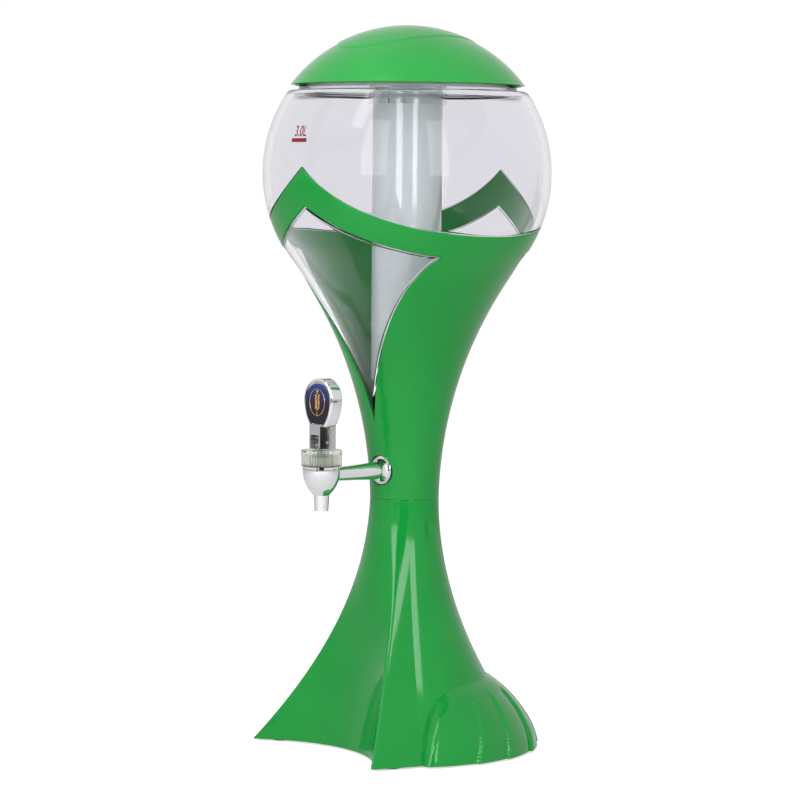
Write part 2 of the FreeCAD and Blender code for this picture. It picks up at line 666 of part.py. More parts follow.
def wedge_outline(turn, reach):
    """A slot for one lug, from just inside the socket to the reach, centred on the turn's angle."""
    half = "lug_angle / 2 + lug_play"
    inner = "tube_radius - tube_wall / 2"
    low = f"({turn} - ({half}))"
    high = f"({turn} + ({half}))"
    return [
        (f"{inner} * cos({low})", f"{inner} * sin({low})"),
        (f"({reach}) * cos({low})", f"({reach}) * sin({low})"),
        (f"({reach}) * cos({turn})", f"({reach}) * sin({turn})",
         f"({reach}) * cos({high})", f"({reach}) * sin({high})"),
        (f"{inner} * cos({high})", f"{inner} * sin({high})"),
    ]


def repeated(body, feature, sketch, name, count=3):
    """The feature repeated round the body's vertical axis."""
    pattern = body.newObject("PartDesign::PolarPattern", name)
    pattern.Originals = [feature]
    pattern.Axis = (sketch, ["N_Axis"])
    pattern.Angle = 360
    pattern.Occurrences = count
    body.Tip = pattern
    return pattern


def make_ice_tube():
    body = new_body("ice_tube")
    bottom = f"({TUBE_TOP} - tube_length)"
    inner = "tube_radius - tube_wall"
    inner_corner = "(tube_corner - tube_wall)"
    bend = "sqrt(0.5)"
    turned(body, "tube", [
        ("0", bottom), ("tube_radius - tube_corner", bottom),
        (f"tube_radius - tube_corner + tube_corner * {bend}", f"{bottom} + tube_corner - tube_corner * {bend}",
         "tube_radius", f"{bottom} + tube_corner"),
        ("tube_radius", TUBE_TOP), (inner, TUBE_TOP),
        (inner, f"{bottom} + tube_corner"),
        (f"tube_radius - tube_corner + {inner_corner} * {bend}",
         f"{bottom} + tube_corner - {inner_corner} * {bend}",
         "tube_radius - tube_corner", f"{bottom} + tube_wall"),
        ("0", f"{bottom} + tube_wall")])
    lug_line = new_sketch(body, "XY_Plane", "lug_line", lug_outline(), offset=LUG_LOW)
    lug = padded(body, "lug", lug_line, "lug_height")
    repeated(body, lug, lug_line, "lugs")
    seal = new_body("tube_seal")
    turned(seal, "ring", [
        (inner, PLATE_LOW), (inner, f"{PLATE_LOW} - tube_seal_height"),
        ("tube_radius", f"{PLATE_LOW} - tube_seal_height"), ("tube_radius", PLATE_LOW)])
    return body, seal


def lug_outline():
    """One lug, from inside the tube's wall outward."""
    inner = "tube_radius - tube_wall / 2"
    outer = "tube_radius + lug_reach"
    return [
        (f"({inner}) * cos(lug_angle / 2)", f"-({inner}) * sin(lug_angle / 2)"),
        (f"({outer}) * cos(lug_angle / 2)", f"-({outer}) * sin(lug_angle / 2)"),
        (outer, "0", f"({outer}) * cos(lug_angle / 2)", f"({outer}) * sin(lug_angle / 2)"),
        (f"({inner}) * cos(lug_angle / 2)", f"({inner}) * sin(lug_angle / 2)"),
    ]


# Tap.

def turned_on_shank(body, name, outline):
    """A revolution round the shank. The outline is (radius, distance in front of the tower's axis)."""
    sketch = body.newObject("Sketcher::SketchObject", name + "_outline")
    sketch.AttachmentSupport = [(origin_plane(body, "XY_Plane"), "")]
    sketch.MapMode = "FlatFace"
    sketch.setExpression("AttachmentOffset.Base.z", bound("tap_height"))
    draw(sketch, [tuple(part if index % 2 == 0 else f"-({part})" for index, part in enumerate(step))
                  for step in outline])
    feature = body.newObject("PartDesign::Revolution", name)
    feature.Profile = sketch
    feature.ReferenceAxis = (sketch, ["V_Axis"])
    feature.Angle = 360
    return feature


RING_BACK = "boss_reach + gasket_thickness"
RING_FRONT = "boss_reach + gasket_thickness + escutcheon_thickness"
BOSS_BACK = "boss_reach - boss_depth"
SHANK_END = "boss_reach - boss_depth - gasket_thickness - shank_nut_height"


def make_tap_body():
    shank = new_body("tap_shank")
    turned_on_shank(shank, "shank", [
        ("0", SHANK_END), ("shank_thread_radius", SHANK_END), ("shank_thread_radius", RING_FRONT),
        ("shank_flare_radius", RING_FRONT),
        ("shank_root_radius + shank_flare_bulge", f"{RING_FRONT} + shank_flare_length * shank_flare_middle",
         "shank_root_radius", f"{RING_FRONT} + shank_flare_length"),
        ("shank_tip_radius", "tap_reach - cup_radius + shank_cup_overlap"),
        ("shank_tip_radius", "tap_reach - shank_inner_end"), ("0", "tap_reach - shank_inner_end")])
    cup = at_tap(new_body("tap_cup"))
    turned(cup, "cup", [
        ("0", "spout_height"), ("spout_radius", "spout_height"), ("spout_top_radius", "spout_top_height"),
        ("cup_belly_radius", "cup_belly_height", "cup_radius", "cup_height"), ("0", "cup_height")])
    outside = combined("Part::MultiFuse", "tap_outside", shank, cup)
    hollow = at_tap(new_body("tap_hollow"))
    over = "cup_height + cup_radius"
    turned(hollow, "chamber", [
        ("0", "spout_height - spout_radius"), ("spout_bore", "spout_height - spout_radius"),
        ("spout_bore", "spout_height"), ("spout_bore_top", "seat_height"), ("seat_radius", "seat_height"),
        ("cup_bore_belly", "cup_belly_height", "cup_bore", "cup_height"), ("cup_bore", over), ("0", over)])
    passage = new_body("shank_passage")
    turned_on_shank(passage, "passage", [
        ("0", f"{SHANK_END} - shank_bore"), ("shank_bore", f"{SHANK_END} - shank_bore"),
        ("shank_bore", "tap_reach"), ("0", "tap_reach")])
    inside = combined("Part::MultiFuse", "tap_inside", hollow, passage)
    return combined("Part::Cut", "tap_body", outside, inside)


def make_shank_rings():
    bore = "shank_thread_radius + shank_clearance"
    rings = []
    for label, radius, back, front in (
            ("tap_escutcheon", "escutcheon_radius", RING_BACK, RING_FRONT),
            ("outer_gasket", "gasket_radius", "boss_reach", RING_BACK),
            ("inner_gasket", "gasket_radius", f"{BOSS_BACK} - gasket_thickness", BOSS_BACK)):
        body = new_body(label)
        turned_on_shank(body, label + "_ring", [(bore, back), (radius, back), (radius, front), (bore, front)])
        rings.append(body)
    nut = new_body("shank_nut")
    sketch = new_sketch(nut, "XZ_Plane", "shank_nut_line",
                        [(across, f"tap_height + {up}") for across, up in hexagon("shank_nut_radius")],
                        circles=[("0", "tap_height", bore)],
                        offset=f"{BOSS_BACK} - gasket_thickness")
    padded(nut, "hexagon_nut", sketch, "shank_nut_height", reverse=True)
    return rings + [nut]


BONNET_TOP = "bonnet_height + flange_thickness"
COLLAR_LOW = "cup_height + bonnet_gap"


def make_tap_bonnet():
    body = at_tap(new_body("tap_bonnet"))
    sleeve = "cup_bore - sleeve_clearance"
    inner = f"{sleeve} - bonnet_wall"
    roof = f"{BONNET_TOP} - bonnet_roof"
    bore = "stem_radius + stem_clearance"
    turned(body, "bonnet", [
        (bore, BONNET_TOP), ("flange_radius", BONNET_TOP), ("flange_radius", "bonnet_height"),
        ("bonnet_radius", "bonnet_height"), ("bonnet_radius", COLLAR_LOW), (sleeve, COLLAR_LOW),
        (sleeve, "sleeve_height"), (inner, "sleeve_height"), (inner, roof), (bore, roof)])
    rib_line = new_sketch(body, "XY_Plane", "rib_line", circles=[("bonnet_radius", "0", "bonnet_rib_radius")],
                          offset=COLLAR_LOW)
    rib = padded(body, "rib", rib_line, f"bonnet_height - ({COLLAR_LOW})")
    pattern = repeated(body, rib, rib_line, "ribs")
    pattern.setExpression("Occurrences", "sizes.bonnet_ribs")
    seal = at_tap(new_body("bonnet_seal"))
    turned(seal, "bonnet_ring", [
        (f"{sleeve} + bonnet_seal_inset * bonnet_wall", "cup_height"), ("cup_radius", "cup_height"),
        ("cup_radius", COLLAR_LOW), (f"{sleeve} + bonnet_seal_inset * bonnet_wall", COLLAR_LOW)])
    return body, seal


PLUG_LOW = "seat_height + plug_gap"


def make_plunger():
    body = at_tap(new_body("plunger"))
    plug_top = f"{PLUG_LOW} + plug_height"
    disc_radius = "cup_bore - sleeve_clearance - bonnet_wall - disc_clearance"
    neck_top = f"{BONNET_TOP} + lever_gap"
    turned(body, "stem", [
        ("0", f"{plug_top} - stem_foot"), ("stem_foot_radius", f"{plug_top} - stem_foot"),
        ("stem_foot_radius", plug_top), ("stem_radius", plug_top), ("stem_radius", "disc_height"),
        (disc_radius, "disc_height"), (disc_radius, "disc_height + disc_thickness"),
        ("stem_radius", "disc_height + disc_thickness"), ("stem_radius", neck_top), ("0", neck_top)])
    width = "(neck_width - 2 * cheek - 2 * tongue_play)"
    tongue_line = new_sketch(body, "XY_Plane", "tongue_line", [
        (f"{width} / 2", "-tongue_half_depth"), (f"{width} / 2", "tongue_half_depth"),
        (f"-{width} / 2", "tongue_half_depth"), (f"-{width} / 2", "-tongue_half_depth")], offset=neck_top)
    padded(body, "tongue", tongue_line, "pin_rise + tongue_rise")
    hole = new_sketch(body, "YZ_Plane", "plunger_pin_line",
                      circles=[("0", "pin_height", "pin_radius + pin_clearance")])
    cut_through(body, "plunger_pin_hole", hole)
    plug = at_tap(new_body("seat_plug"))
    turned(plug, "plug", [
        ("0", PLUG_LOW), ("plug_radius - plug_chamfer", PLUG_LOW), ("plug_radius", f"{PLUG_LOW} + plug_chamfer"),
        ("plug_radius", plug_top), ("stem_foot_radius", plug_top),
        ("stem_foot_radius", f"{plug_top} - stem_foot"), ("0", f"{plug_top} - stem_foot")])
    seal = at_tap(new_body("stem_seal"))
    low = f"{BONNET_TOP} - bonnet_roof - stem_seal_wall"
    turned(seal, "stem_ring", [
        ("stem_radius + stem_clearance", low), ("stem_radius + stem_seal_wall", low),
        ("stem_radius + stem_seal_wall", f"{BONNET_TOP} - bonnet_roof"),
        ("stem_radius + stem_clearance", f"{BONNET_TOP} - bonnet_roof")])
    return body, plug, seal


# Lever. Its heel is an involute: tilted by an angle, it rests at the pin's rise plus the cam's rate
# times that angle, so the pin climbs in step with the tilt.

def heel_point(share):
    """A point of the heel (forward, up) from the pin, at a share of the full tilt."""
    angle = f"(tilt_angle * {share})"
    reach = f"(pin_rise + cam_rate * tilt_angle * {share} * pi / 180)"
    return (f"-({reach} * sin({angle}) + cam_rate * cos({angle}))",
            f"pin_height - {reach} * cos({angle}) + cam_rate * sin({angle})")


def head_outline(margin="0", lift="0"):
    """The lever's head from the front: a flat base and sides that run smoothly into a round top."""
    half = f"(head_width / 2 - ({margin}))"
    base = f"(head_base_width / 2 - ({margin}))"
    low = f"(head_base + ({lift}))"
    middle = "(head_top - head_width / 2)"
    side_radius = f"(({half} - {base})^2 + ({middle} - {low})^2) / (2 * ({half} - {base}))"
    halfway = f"(({middle} + {low}) / 2)"
    bulge = f"({half} - {side_radius} + sqrt(({side_radius})^2 - ({middle} - {halfway})^2))"
    return [
        (base, low),
        (bulge, halfway, half, middle),
        ("0", f"{middle} + {half}", f"-{half}", middle),
        (f"-{bulge}", halfway, f"-{base}", low),
    ]


def make_tap_lever():
    body = at_tap(new_body("tap_lever"))
    bottom = f"{BONNET_TOP} + lever_gap"
    neck_top = "head_base + head_round"
    heel = heel_point("1")
    side = new_sketch(body, "YZ_Plane", "lever_side_line", [
        ("neck_back", bottom), ("neck_back", neck_top), (heel[0], neck_top), heel,
        heel_point("0.5") + heel_point("0")])
    padded(body, "neck", side, "neck_width", symmetric=True)
    front = new_sketch(body, "XZ_Plane", "head_line", head_outline(), offset="head_front")
    head = padded(body, "head", front, "head_depth", reverse=True)
    document.recompute()
    rounded = body.newObject("PartDesign::Fillet", "head_rounding")
    rounded.Base = (head, head_edges(head.Shape))
    rounded.setExpression("Radius", "sizes.head_round")
    slot = new_sketch(body, "YZ_Plane", "slot_line", [
        ("slot_back", f"{bottom} - lever_gap"), ("slot_back", f"pin_height + slot_rise"),
        (f"2 * {heel[0]}", f"pin_height + slot_rise"), (f"2 * {heel[0]}", f"{bottom} - lever_gap")])
    opening = cut_deep(body, "slot", slot, "neck_width - 2 * cheek")
    opening.SideType = "Symmetric"
    hole = new_sketch(body, "YZ_Plane", "lever_pin_line",
                      circles=[("0", "pin_height", "pin_radius + pin_clearance")])
    cut_through(body, "lever_pin_hole", hole)
    seat = new_sketch(body, "XZ_Plane", "badge_seat_line", head_outline("badge_rim", "badge_lift"),
                      offset="head_front - badge_recess")
    cut_deep(body, "badge_seat", seat, "badge_recess * 2", reverse=True)

    badge = at_tap(new_body("lever_badge"))
    plate = new_sketch(badge, "XZ_Plane", "badge_line",
                       head_outline("badge_rim + badge_clearance", "badge_lift + badge_clearance"),
                       offset="head_front - badge_recess")
    padded(badge, "plate", plate, "badge_thickness")

    pin = at_tap(new_body("lever_pin"))
    across = new_sketch(pin, "YZ_Plane", "pin_line", circles=[("0", "pin_height", "pin_radius")])
    padded(pin, "pin", across, "neck_width - 2 * pin_clearance", symmetric=True)
    return body, badge, pin


def head_edges(shape):
    """Edges round the front and back faces of the head, in the lever's own frame."""
    front = -value("head_front")
    back = front + value("head_depth")
    clear = value("head_base + head_round * 1.5")
    names = []
    for number, edge in enumerate(shape.Edges, start=1):
        box = edge.BoundBox
        flat = box.YLength < 0.01
        level = min(abs(box.YMin - front), abs(box.YMin - back)) < 0.01
        if flat and level and box.ZMax > clear:
            names.append(f"Edge{number}")
    return names


# Pedestal. Its plan changes with height by formula, so its walls are lofts through plans.
# Angles are measured from the middle of the scoop.

def around(angle, radius, height):
    """A point at an angle from the middle of the scoop."""
    turn = math.radians(angle)
    return Vector(radius * math.sin(turn), -radius * math.cos(turn), height)


def plan(height, inset):
    """The pedestal's plan at a height: scoop, panel, round back, panel. Four smooth edges in one wire."""
    share = 1 - height / value("seam_height")
    waist = value("waist_radius") - inset
    spread = value("base_spread") * share ** value("base_curve")
    trumpet = waist + spread
    fin = waist + spread + value("fin_spread") * share ** value("fin_curve") - inset * value("fin_lean") * share
    scoop = waist + (value("scoop_radius") - value("waist_radius")) * share ** value("scoop_curve")
    fin_angle = value("fin_angle")
    crease_angle = value("crease_angle")
    middle_angle = (fin_angle + crease_angle) / 2
    flat = math.cos(math.radians(crease_angle - fin_angle) / 2)
    panel = (fin + trumpet) / 2 * (flat + (1 - flat) * (1 - share))
    scoop_edge = Part.Arc(around(-fin_angle, fin, height), around(0, scoop, height),
                          around(fin_angle, fin, height)).toShape()
    right_panel = Part.Arc(around(fin_angle, fin, height), around(middle_angle, panel, height),
                           around(crease_angle, trumpet, height)).toShape()
    back = Part.Arc(around(crease_angle, trumpet, height), around(180, trumpet, height),
                    around(-crease_angle, trumpet, height)).toShape()
    left_panel = Part.Arc(around(-crease_angle, trumpet, height), around(-middle_angle, panel, height),
                          around(-fin_angle, fin, height)).toShape()
    return Part.Wire([scoop_edge, right_panel, back, left_panel])


LOFT_STEPS = 10


def pedestal(bottom, top, inset):
    """A solid loft of plans from bottom to top."""
    heights = [bottom + (top - bottom) * step / LOFT_STEPS for step in range(LOFT_STEPS + 1)]
    return Part.makeLoft([plan(height, inset) for height in heights], True, False)


def lobe_body(inset, bottom, shift=Vector(0, 0, 0)):
    """The lobe as a full turn of its outline, moved inward by the inset."""
    def corner(radius, height):
        return Vector(radius - inset, 0, height)
    floor = corner(value("lobe_radius"), 0)
    bend = corner(value("lobe_bend_radius"), value("lobe_bend_height") - inset * value("lobe_bend_slope"))
    crown = corner(value("lobe_crown_radius"), value("lobe_crown_height") - inset * value("lobe_crown_slope"))
    top = corner(value("lobe_top_radius"), value("lobe_top_height") - inset)
    low = corner(value("lobe_bend_radius + (lobe_radius - lobe_bend_radius) * lobe_side_share"),
                 value("lobe_bend_height / 2"))
    side = Part.Arc(floor, low, bend).toShape()
    slope = Part.Arc(bend, crown, top).toShape()
    roof = Part.LineSegment(top, Vector(0, 0, top.z)).toShape()
    axis = Part.LineSegment(Vector(0, 0, top.z), Vector(0, 0, 0)).toShape()
    ground = Part.LineSegment(Vector(0, 0, 0), floor).toShape()
    face = Part.Face(Part.Wire([side, slope, roof, axis, ground]))
    solid = face.revolve(Vector(0, 0, 0), Vector(0, 0, 1), 360)
    solid = solid.cut(Part.makeCylinder(value("lobe_radius") * 2, bottom))
    solid.translate(shift)
    return solid


def slanted_line(angle, skew, side, setback=0):
    """Two plan points of a vertical cut: outside the lobe and deep inside it."""
    reach = value("lobe_radius")
    start = around(side * angle, reach, 0)
    inward = around(side * (angle + 180 - skew), 1, 0)
    backward = Vector(inward.y, -inward.x, 0) * side
    moved = start + backward * setback
    return moved - inward * reach * value("lobe_end_lead"), moved + inward * reach


def lobe(inset, bottom):
    """The lobe with its front cut away between the two slanted ends."""
    angle = value("crease_angle")
    skew = value("lobe_end_skew")
    right = slanted_line(angle, skew, 1, inset)
    left = slanted_line(angle, skew, -1, inset)
    crossing = line_crossing(right, left)
    far = value("lobe_radius") * 3
    front = Vector(0, -far, 0)
    corners = [crossing, crossing + (right[0] - crossing).normalize() * far, front,
               crossing + (left[0] - crossing).normalize() * far, crossing]
    prism = Part.Face(Part.makePolygon(corners)).extrude(Vector(0, 0, far))
    return lobe_body(inset, bottom).cut(prism)


def line_crossing(right, left):
    """Where the two slanted ends would meet: on the middle line, because they mirror each other."""
    share = right[0].x / (right[0].x - right[1].x)
    return right[0] + (right[1] - right[0]) * share


def rib_plates(bottom):
    """Shingle-like plates on the lobe. Each stands proud at its front edge and sinks to the next."""
    plates = []
    for side in (1, -1):
        for first, last in zip(RIB_ANGLES, RIB_ANGLES[1:]):
            lift = value("rib_step") / math.sin(math.radians(last - first))
            shift = around(side * (last - 90), lift, 0)
            plate = lobe_body(0, bottom, shift)
            near = slanted_line(first, value("rib_skew"), side)
            far = slanted_line(last, value("rib_skew"), side)
            inner = [edge[0] + (edge[1] - edge[0]) * value("rib_reach") for edge in (near, far)]
            corners = [near[0], far[0], inner[1], inner[0], near[0]]
            prism = Part.Face(Part.makePolygon(corners)).extrude(Vector(0, 0, value("lobe_top_height")))
            plates.append(plate.common(prism))
    return plates


def placed(label, shape):
    """A sub-part made from a shape in the pedestal's own frame, turned with the pedestal."""
    feature = document.addObject("Part::Feature", label)
    feature.Label = label
    feature.Shape = shape
    feature.Placement = FreeCAD.Placement(Vector(0, 0, 0),
                                          FreeCAD.Rotation(Vector(0, 0, 1), -value("base_turn")))
    return feature


def post_points():
    return [around(side * angle, value("post_reach"), 0) for side in (1, -1) for angle in POST_ANGLES]


def foot_points():
    return [around(side * angle, value("foot_reach"), 0) for side in (1, -1) for angle in FOOT_ANGLES]


def make_pedestal():
    wall = value("base_wall")
    lift = value("base_lift")
    seam = value("seam_height")
    cover_low = lift + value("cover_lift")
    cover_top = cover_low + value("cover_thickness")
    outer = pedestal(lift, seam, 0).fuse([lobe(0, lift)] + rib_plates(lift)).removeSplitter()
    inner = pedestal(lift - 1, seam - value("base_roof"), wall).fuse(lobe(wall, 0))
    posts = []
    for point in post_points():
        post = Part.makeCylinder(value("post_radius"), value("lobe_top_height"), point + Vector(0, 0, cover_top))
        pilot = Part.makeCylinder(value("screw_radius"), value("screw_length"), point + Vector(0, 0, cover_top))
        posts.append(post.common(outer).cut(pilot))
    bore = Part.makeCylinder(value("stud_radius + stud_clearance"), value("base_roof") * 2,
                             Vector(0, 0, seam - value("base_roof") * 1.5))
    shell = outer.cut(inner).cut(bore).fuse(posts).removeSplitter()
    base_shell = placed("base_shell", shell)

    edge = wall + value("cover_gap")
    slab = Part.Face(plan(cover_top, edge)).extrude(Vector(0, 0, -value("cover_thickness")))
    back = lobe(edge, 0).common(Part.makeCylinder(value("lobe_radius") * 2, value("cover_thickness"),
                                                  Vector(0, 0, cover_low)))
    plate = slab.fuse(back).removeSplitter()
    screws = []
    for point in post_points():
        low = point + Vector(0, 0, cover_low)
        plate = plate.cut(screw_shape(low, value("screw_clearance"), value("cover_thickness")))
        screws.append(screw_shape(low, 0, value("screw_length + cover_thickness - screw_tip_gap")))
    feet = []
    for point in foot_points():
        pad = Part.makeCylinder(value("foot_radius"), cover_low + value("foot_recess"), point)
        plate = plate.cut(pad)
        feet.append(pad)
    base_cover = placed("base_cover", plate)
    cover_screws = placed("cover_screws", Part.makeCompound(screws))
    rubber_feet = placed("rubber_feet", Part.makeCompound(feet))
    return base_shell, base_cover, cover_screws, rubber_feet


def screw_shape(low, clearance, length):
    """A countersunk screw that points up from the plate's lower face."""
    head = Part.makeCone(value("screw_head_radius") + clearance, value("screw_radius") + clearance,
                         value("screw_head_height"), low)
    play = clearance if clearance else -value("screw_bite")
    shank = Part.makeCylinder(value("screw_radius") + play, length, low)
    return head.fuse(shank).removeSplitter()


parts = [make_cup_shell(), make_vessel(), *make_clamp(), make_lid_dome(), *make_lid_liner(),
         *make_ice_tube(), make_tap_body(), *make_shank_rings(), *make_tap_bonnet(), *make_plunger(),
         *make_tap_lever(), *make_pedestal()]

document.recompute()
for item in document.Objects:
    if "Invalid" in item.State or "Error" in item.State:
        raise RuntimeError(f"{item.Name} is {item.State}")
for part in parts:
    if part.Shape.isNull() or not part.Shape.isValid():
        raise RuntimeError(f"{part.Label} has no valid shape")

os.makedirs("parts", exist_ok=True)
for part in parts:
    part.Shape.exportStep(f"parts/{part.Label}.step")
    print(part.Label, len(part.Shape.Solids), round(part.Shape.Volume))
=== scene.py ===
import math

import bmesh
import bpy
import numpy as np
from mathutils import Matrix


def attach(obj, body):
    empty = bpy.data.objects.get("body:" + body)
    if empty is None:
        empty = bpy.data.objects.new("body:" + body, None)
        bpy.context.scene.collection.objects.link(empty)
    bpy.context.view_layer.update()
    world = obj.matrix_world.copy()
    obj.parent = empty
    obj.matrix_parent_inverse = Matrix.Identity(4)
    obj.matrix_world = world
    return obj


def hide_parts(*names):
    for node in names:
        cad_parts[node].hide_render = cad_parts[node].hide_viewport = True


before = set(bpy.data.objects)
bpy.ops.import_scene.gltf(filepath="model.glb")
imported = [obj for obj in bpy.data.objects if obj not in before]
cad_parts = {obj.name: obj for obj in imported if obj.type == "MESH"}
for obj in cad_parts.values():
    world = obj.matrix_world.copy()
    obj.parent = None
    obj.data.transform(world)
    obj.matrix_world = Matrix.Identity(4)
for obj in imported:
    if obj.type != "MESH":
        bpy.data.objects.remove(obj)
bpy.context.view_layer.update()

# Camera. It stands a little over two metres away, half way between the tap and the right side, at the
# height of the rim, and looks slightly down through a long lens. Distances are in metres.

CAMERA_TURN = math.radians(45)
CAMERA_REACH = 2.1661
CAMERA_HEIGHT = 0.41017
CAMERA_DIP = math.radians(4.194)
CAMERA_ROLL = math.radians(0.48)
CAMERA_AIM = math.radians(0.0993)
LENS = 135


def camera_matrix():
    """The camera's axes: level right and forward turned by the aim, tipped by the dip, then rolled."""
    away = np.array([-math.sin(CAMERA_TURN), math.cos(CAMERA_TURN), 0])
    right = np.array([math.cos(CAMERA_TURN), math.sin(CAMERA_TURN), 0])
    up = np.array([0, 0, 1])
    forward = away * math.cos(CAMERA_AIM) - right * math.sin(CAMERA_AIM)
    right = right * math.cos(CAMERA_AIM) + away * math.sin(CAMERA_AIM)
    tipped = up * math.cos(CAMERA_DIP) + forward * math.sin(CAMERA_DIP)
    forward = forward * math.cos(CAMERA_DIP) - up * math.sin(CAMERA_DIP)
    rolled = right * math.cos(CAMERA_ROLL) + tipped * math.sin(CAMERA_ROLL)
    top = tipped * math.cos(CAMERA_ROLL) - right * math.sin(CAMERA_ROLL)
    place = -away * CAMERA_REACH + up * CAMERA_HEIGHT
    matrix = np.eye(4)
    matrix[:3] = np.stack([rolled, top, -forward, place], 1)
    return Matrix(matrix.tolist())


camera = bpy.data.objects.new("camera", bpy.data.cameras.new("camera"))
camera.data.sensor_width = 36
camera.data.lens = LENS
camera.matrix_world = camera_matrix()
bpy.context.scene.collection.objects.link(camera)
bpy.context.scene.camera = camera

# Goblet. One injection-moulded shell of glossy green ABS, 2.4 mm thick: a trumpet that opens into the
# lower half of a globe. A pointed rim and two V windows are cut through it, front and back, and the
# shank of the tap comes out through a round hole. Lengths are in millimetres from here on.

GLOBE_R = 104.0
GLOBE_Z = 415.0
WAIST_R = 25.0
TRUMPET_R = 295.0
SEAM_Z = 181.0
SHELL_WALL = 2.4
DROP = math.sqrt((GLOBE_R + TRUMPET_R) ** 2 - (WAIST_R + TRUMPET_R) ** 2)
TRUMPET_Z = GLOBE_Z - DROP
# The rim and the windows are arcs drawn from the front, each through three points of reach and height.
RIM = ((0.0, 418.5), (49.2, 386.5), (94.2, 371.0))
WINDOW_TOP = ((0.0, 391.5), (37.2, 371.2), (75.6, 356.8))
WINDOW_SIDE = ((0.0, 238.0), (34.7, 314.8), (75.6, 356.8))
EDGE_ROUND = 0.8
SEAM_ROUND = 0.48
TAP_Z = 201.8
TAP_HOLE_R = 10.8
# A block of the grid makes room for the tap's hole. A plain band of rows lies round it.
BLOCK_TURN = 36.0
BLOCK_Z = (186.0, 217.6)
BAND_Z = (184.0, 222.0)
# The floor rests on the pedestal's neck and has a hole for the vessel's stud.
FLOOR_Z = (181.1, 184.6)
FLOOR_R = 22.4
STUD_HOLE_R = 9.05
FLOOR_RING = ((STUD_HOLE_R, FLOOR_Z[0]), (FLOOR_R, FLOOR_Z[0]), (FLOOR_R, FLOOR_Z[1]),
              (STUD_HOLE_R, FLOOR_Z[1]), (STUD_HOLE_R, FLOOR_Z[0]))


def linear(code):
    """Scene-linear colour of an sRGB hex code, by the sRGB curve."""
    channel = np.array([int(code[i:i + 2], 16) for i in (1, 3, 5)]) / 255
    return (*np.where(channel <= 0.04045, channel / 12.92, ((channel + 0.055) / 1.055) ** 2.4), 1.0)


def add(tree, kind, sockets=None, **settings):
    """A node with its settings; a socket takes a number, a colour or another node's output."""
    made = tree.nodes.new(kind)
    for name, value in settings.items():
        setattr(made, name, value)
    for name, value in (sockets or {}).items():
        if isinstance(value, bpy.types.NodeSocket):
            tree.links.new(value, made.inputs[name])
        else:
            made.inputs[name].default_value = value
    return made


def noise(tree, place, scale, detail, **more):
    """Cloud noise from 0 to 1 over coordinates in metres, with the scale in clouds for each metre."""
    sockets = {"Vector": place, "Scale": scale, "Detail": detail, **more}
    return add(tree, "ShaderNodeTexNoise", sockets).outputs["Fac"]


def mapped(tree, value, before, after):
    """A value carried in a straight line from one span onto another, and held at its ends."""
    sockets = {"Value": value, "From Min": before[0], "From Max": before[1],
               "To Min": after[0], "To Max": after[1]}
    return add(tree, "ShaderNodeMapRange", sockets).outputs["Result"]


def toned(tree, value, *stops):
    """A colour that runs through stops, each a place from 0 to 1 and a scene-linear colour."""
    ramp = add(tree, "ShaderNodeValToRGB", {"Fac": value})
    elements = ramp.color_ramp.elements
    for element, (place, colour) in zip(elements, (stops[0], stops[-1])):
        element.position, element.color = place, colour
    for place, colour in stops[1:-1]:
        elements.new(place).color = colour
    return ramp.outputs["Color"]


def bumped(tree, height, strength, depth, **below):
    """The normal of a surface raised by a height, whose full depth is in metres."""
    sockets = {"Height": height, "Strength": strength, "Distance": depth, **below}
    return add(tree, "ShaderNodeBump", sockets).outputs["Normal"]


def new_finish(name, **sockets):
    """A material with one Principled shader, whose sockets are given with _ for spaces."""
    material = bpy.data.materials.new(name)
    material.use_nodes = True
    shader = material.node_tree.nodes["Principled BSDF"]
    for socket, value in sockets.items():
        shader.inputs[socket.replace("_", " ")].default_value = value
    return material, material.node_tree, shader


def feed(tree, shader, **outputs):
    """Links outputs to the shader's sockets, which are given with _ for spaces."""
    for socket, output in outputs.items():
        tree.links.new(output, shader.inputs[socket.replace("_", " ")])


def arc_points(start, middle, end, count):
    """Points on the circle through three points, at even angles. Each point may be a stack of points."""
    start, middle, end = (np.asarray(point, float) for point in (start, middle, end))
    square = [(point ** 2).sum(-1) for point in (start, middle, end)]
    (x1, y1), (x2, y2), (x3, y3) = (np.moveaxis(point, -1, 0) for point in (start, middle, end))
    twice = 2 * (x1 * (y2 - y3) + x2 * (y3 - y1) + x3 * (y1 - y2))
    x = (square[0] * (y2 - y3) + square[1] * (y3 - y1) + square[2] * (y1 - y2)) / twice
    y = (square[0] * (x3 - x2) + square[1] * (x1 - x3) + square[2] * (x2 - x1)) / twice
    first, via, last = (np.arctan2(point[..., 1] - y, point[..., 0] - x) for point in (start, middle, end))
    turn = (last - first) % math.tau
    turn = np.where((via - first) % math.tau > turn, turn - math.tau, turn)
    angle = first[..., None] + np.linspace(0, 1, count) * turn[..., None]
    radius = np.hypot(x1 - x, y1 - y)[..., None]
    return np.stack([x[..., None] + radius * np.cos(angle), y[..., None] + radius * np.sin(angle)], -1)


def rows_between(low, high, count):
    """Heights in even steps from one edge to another, as columns; an edge is a height or one for each turn."""
    return low + (high - low) * np.linspace(0, 1, count)


def goblet_radius(height, inset=0.0):
    """Radius at a height: the trumpet's arc up to where it touches the globe's arc, moved in by the inset."""
    touch = GLOBE_Z - (GLOBE_R - inset) * DROP / (GLOBE_R + TRUMPET_R)
    bow = np.sqrt(np.maximum((TRUMPET_R + inset) ** 2 - (height - TRUMPET_Z) ** 2, 0))
    globe = np.sqrt(np.maximum((GLOBE_R - inset) ** 2 - (height - GLOBE_Z) ** 2, 0))
    return np.where(height < touch, WAIST_R + TRUMPET_R - bow, globe)


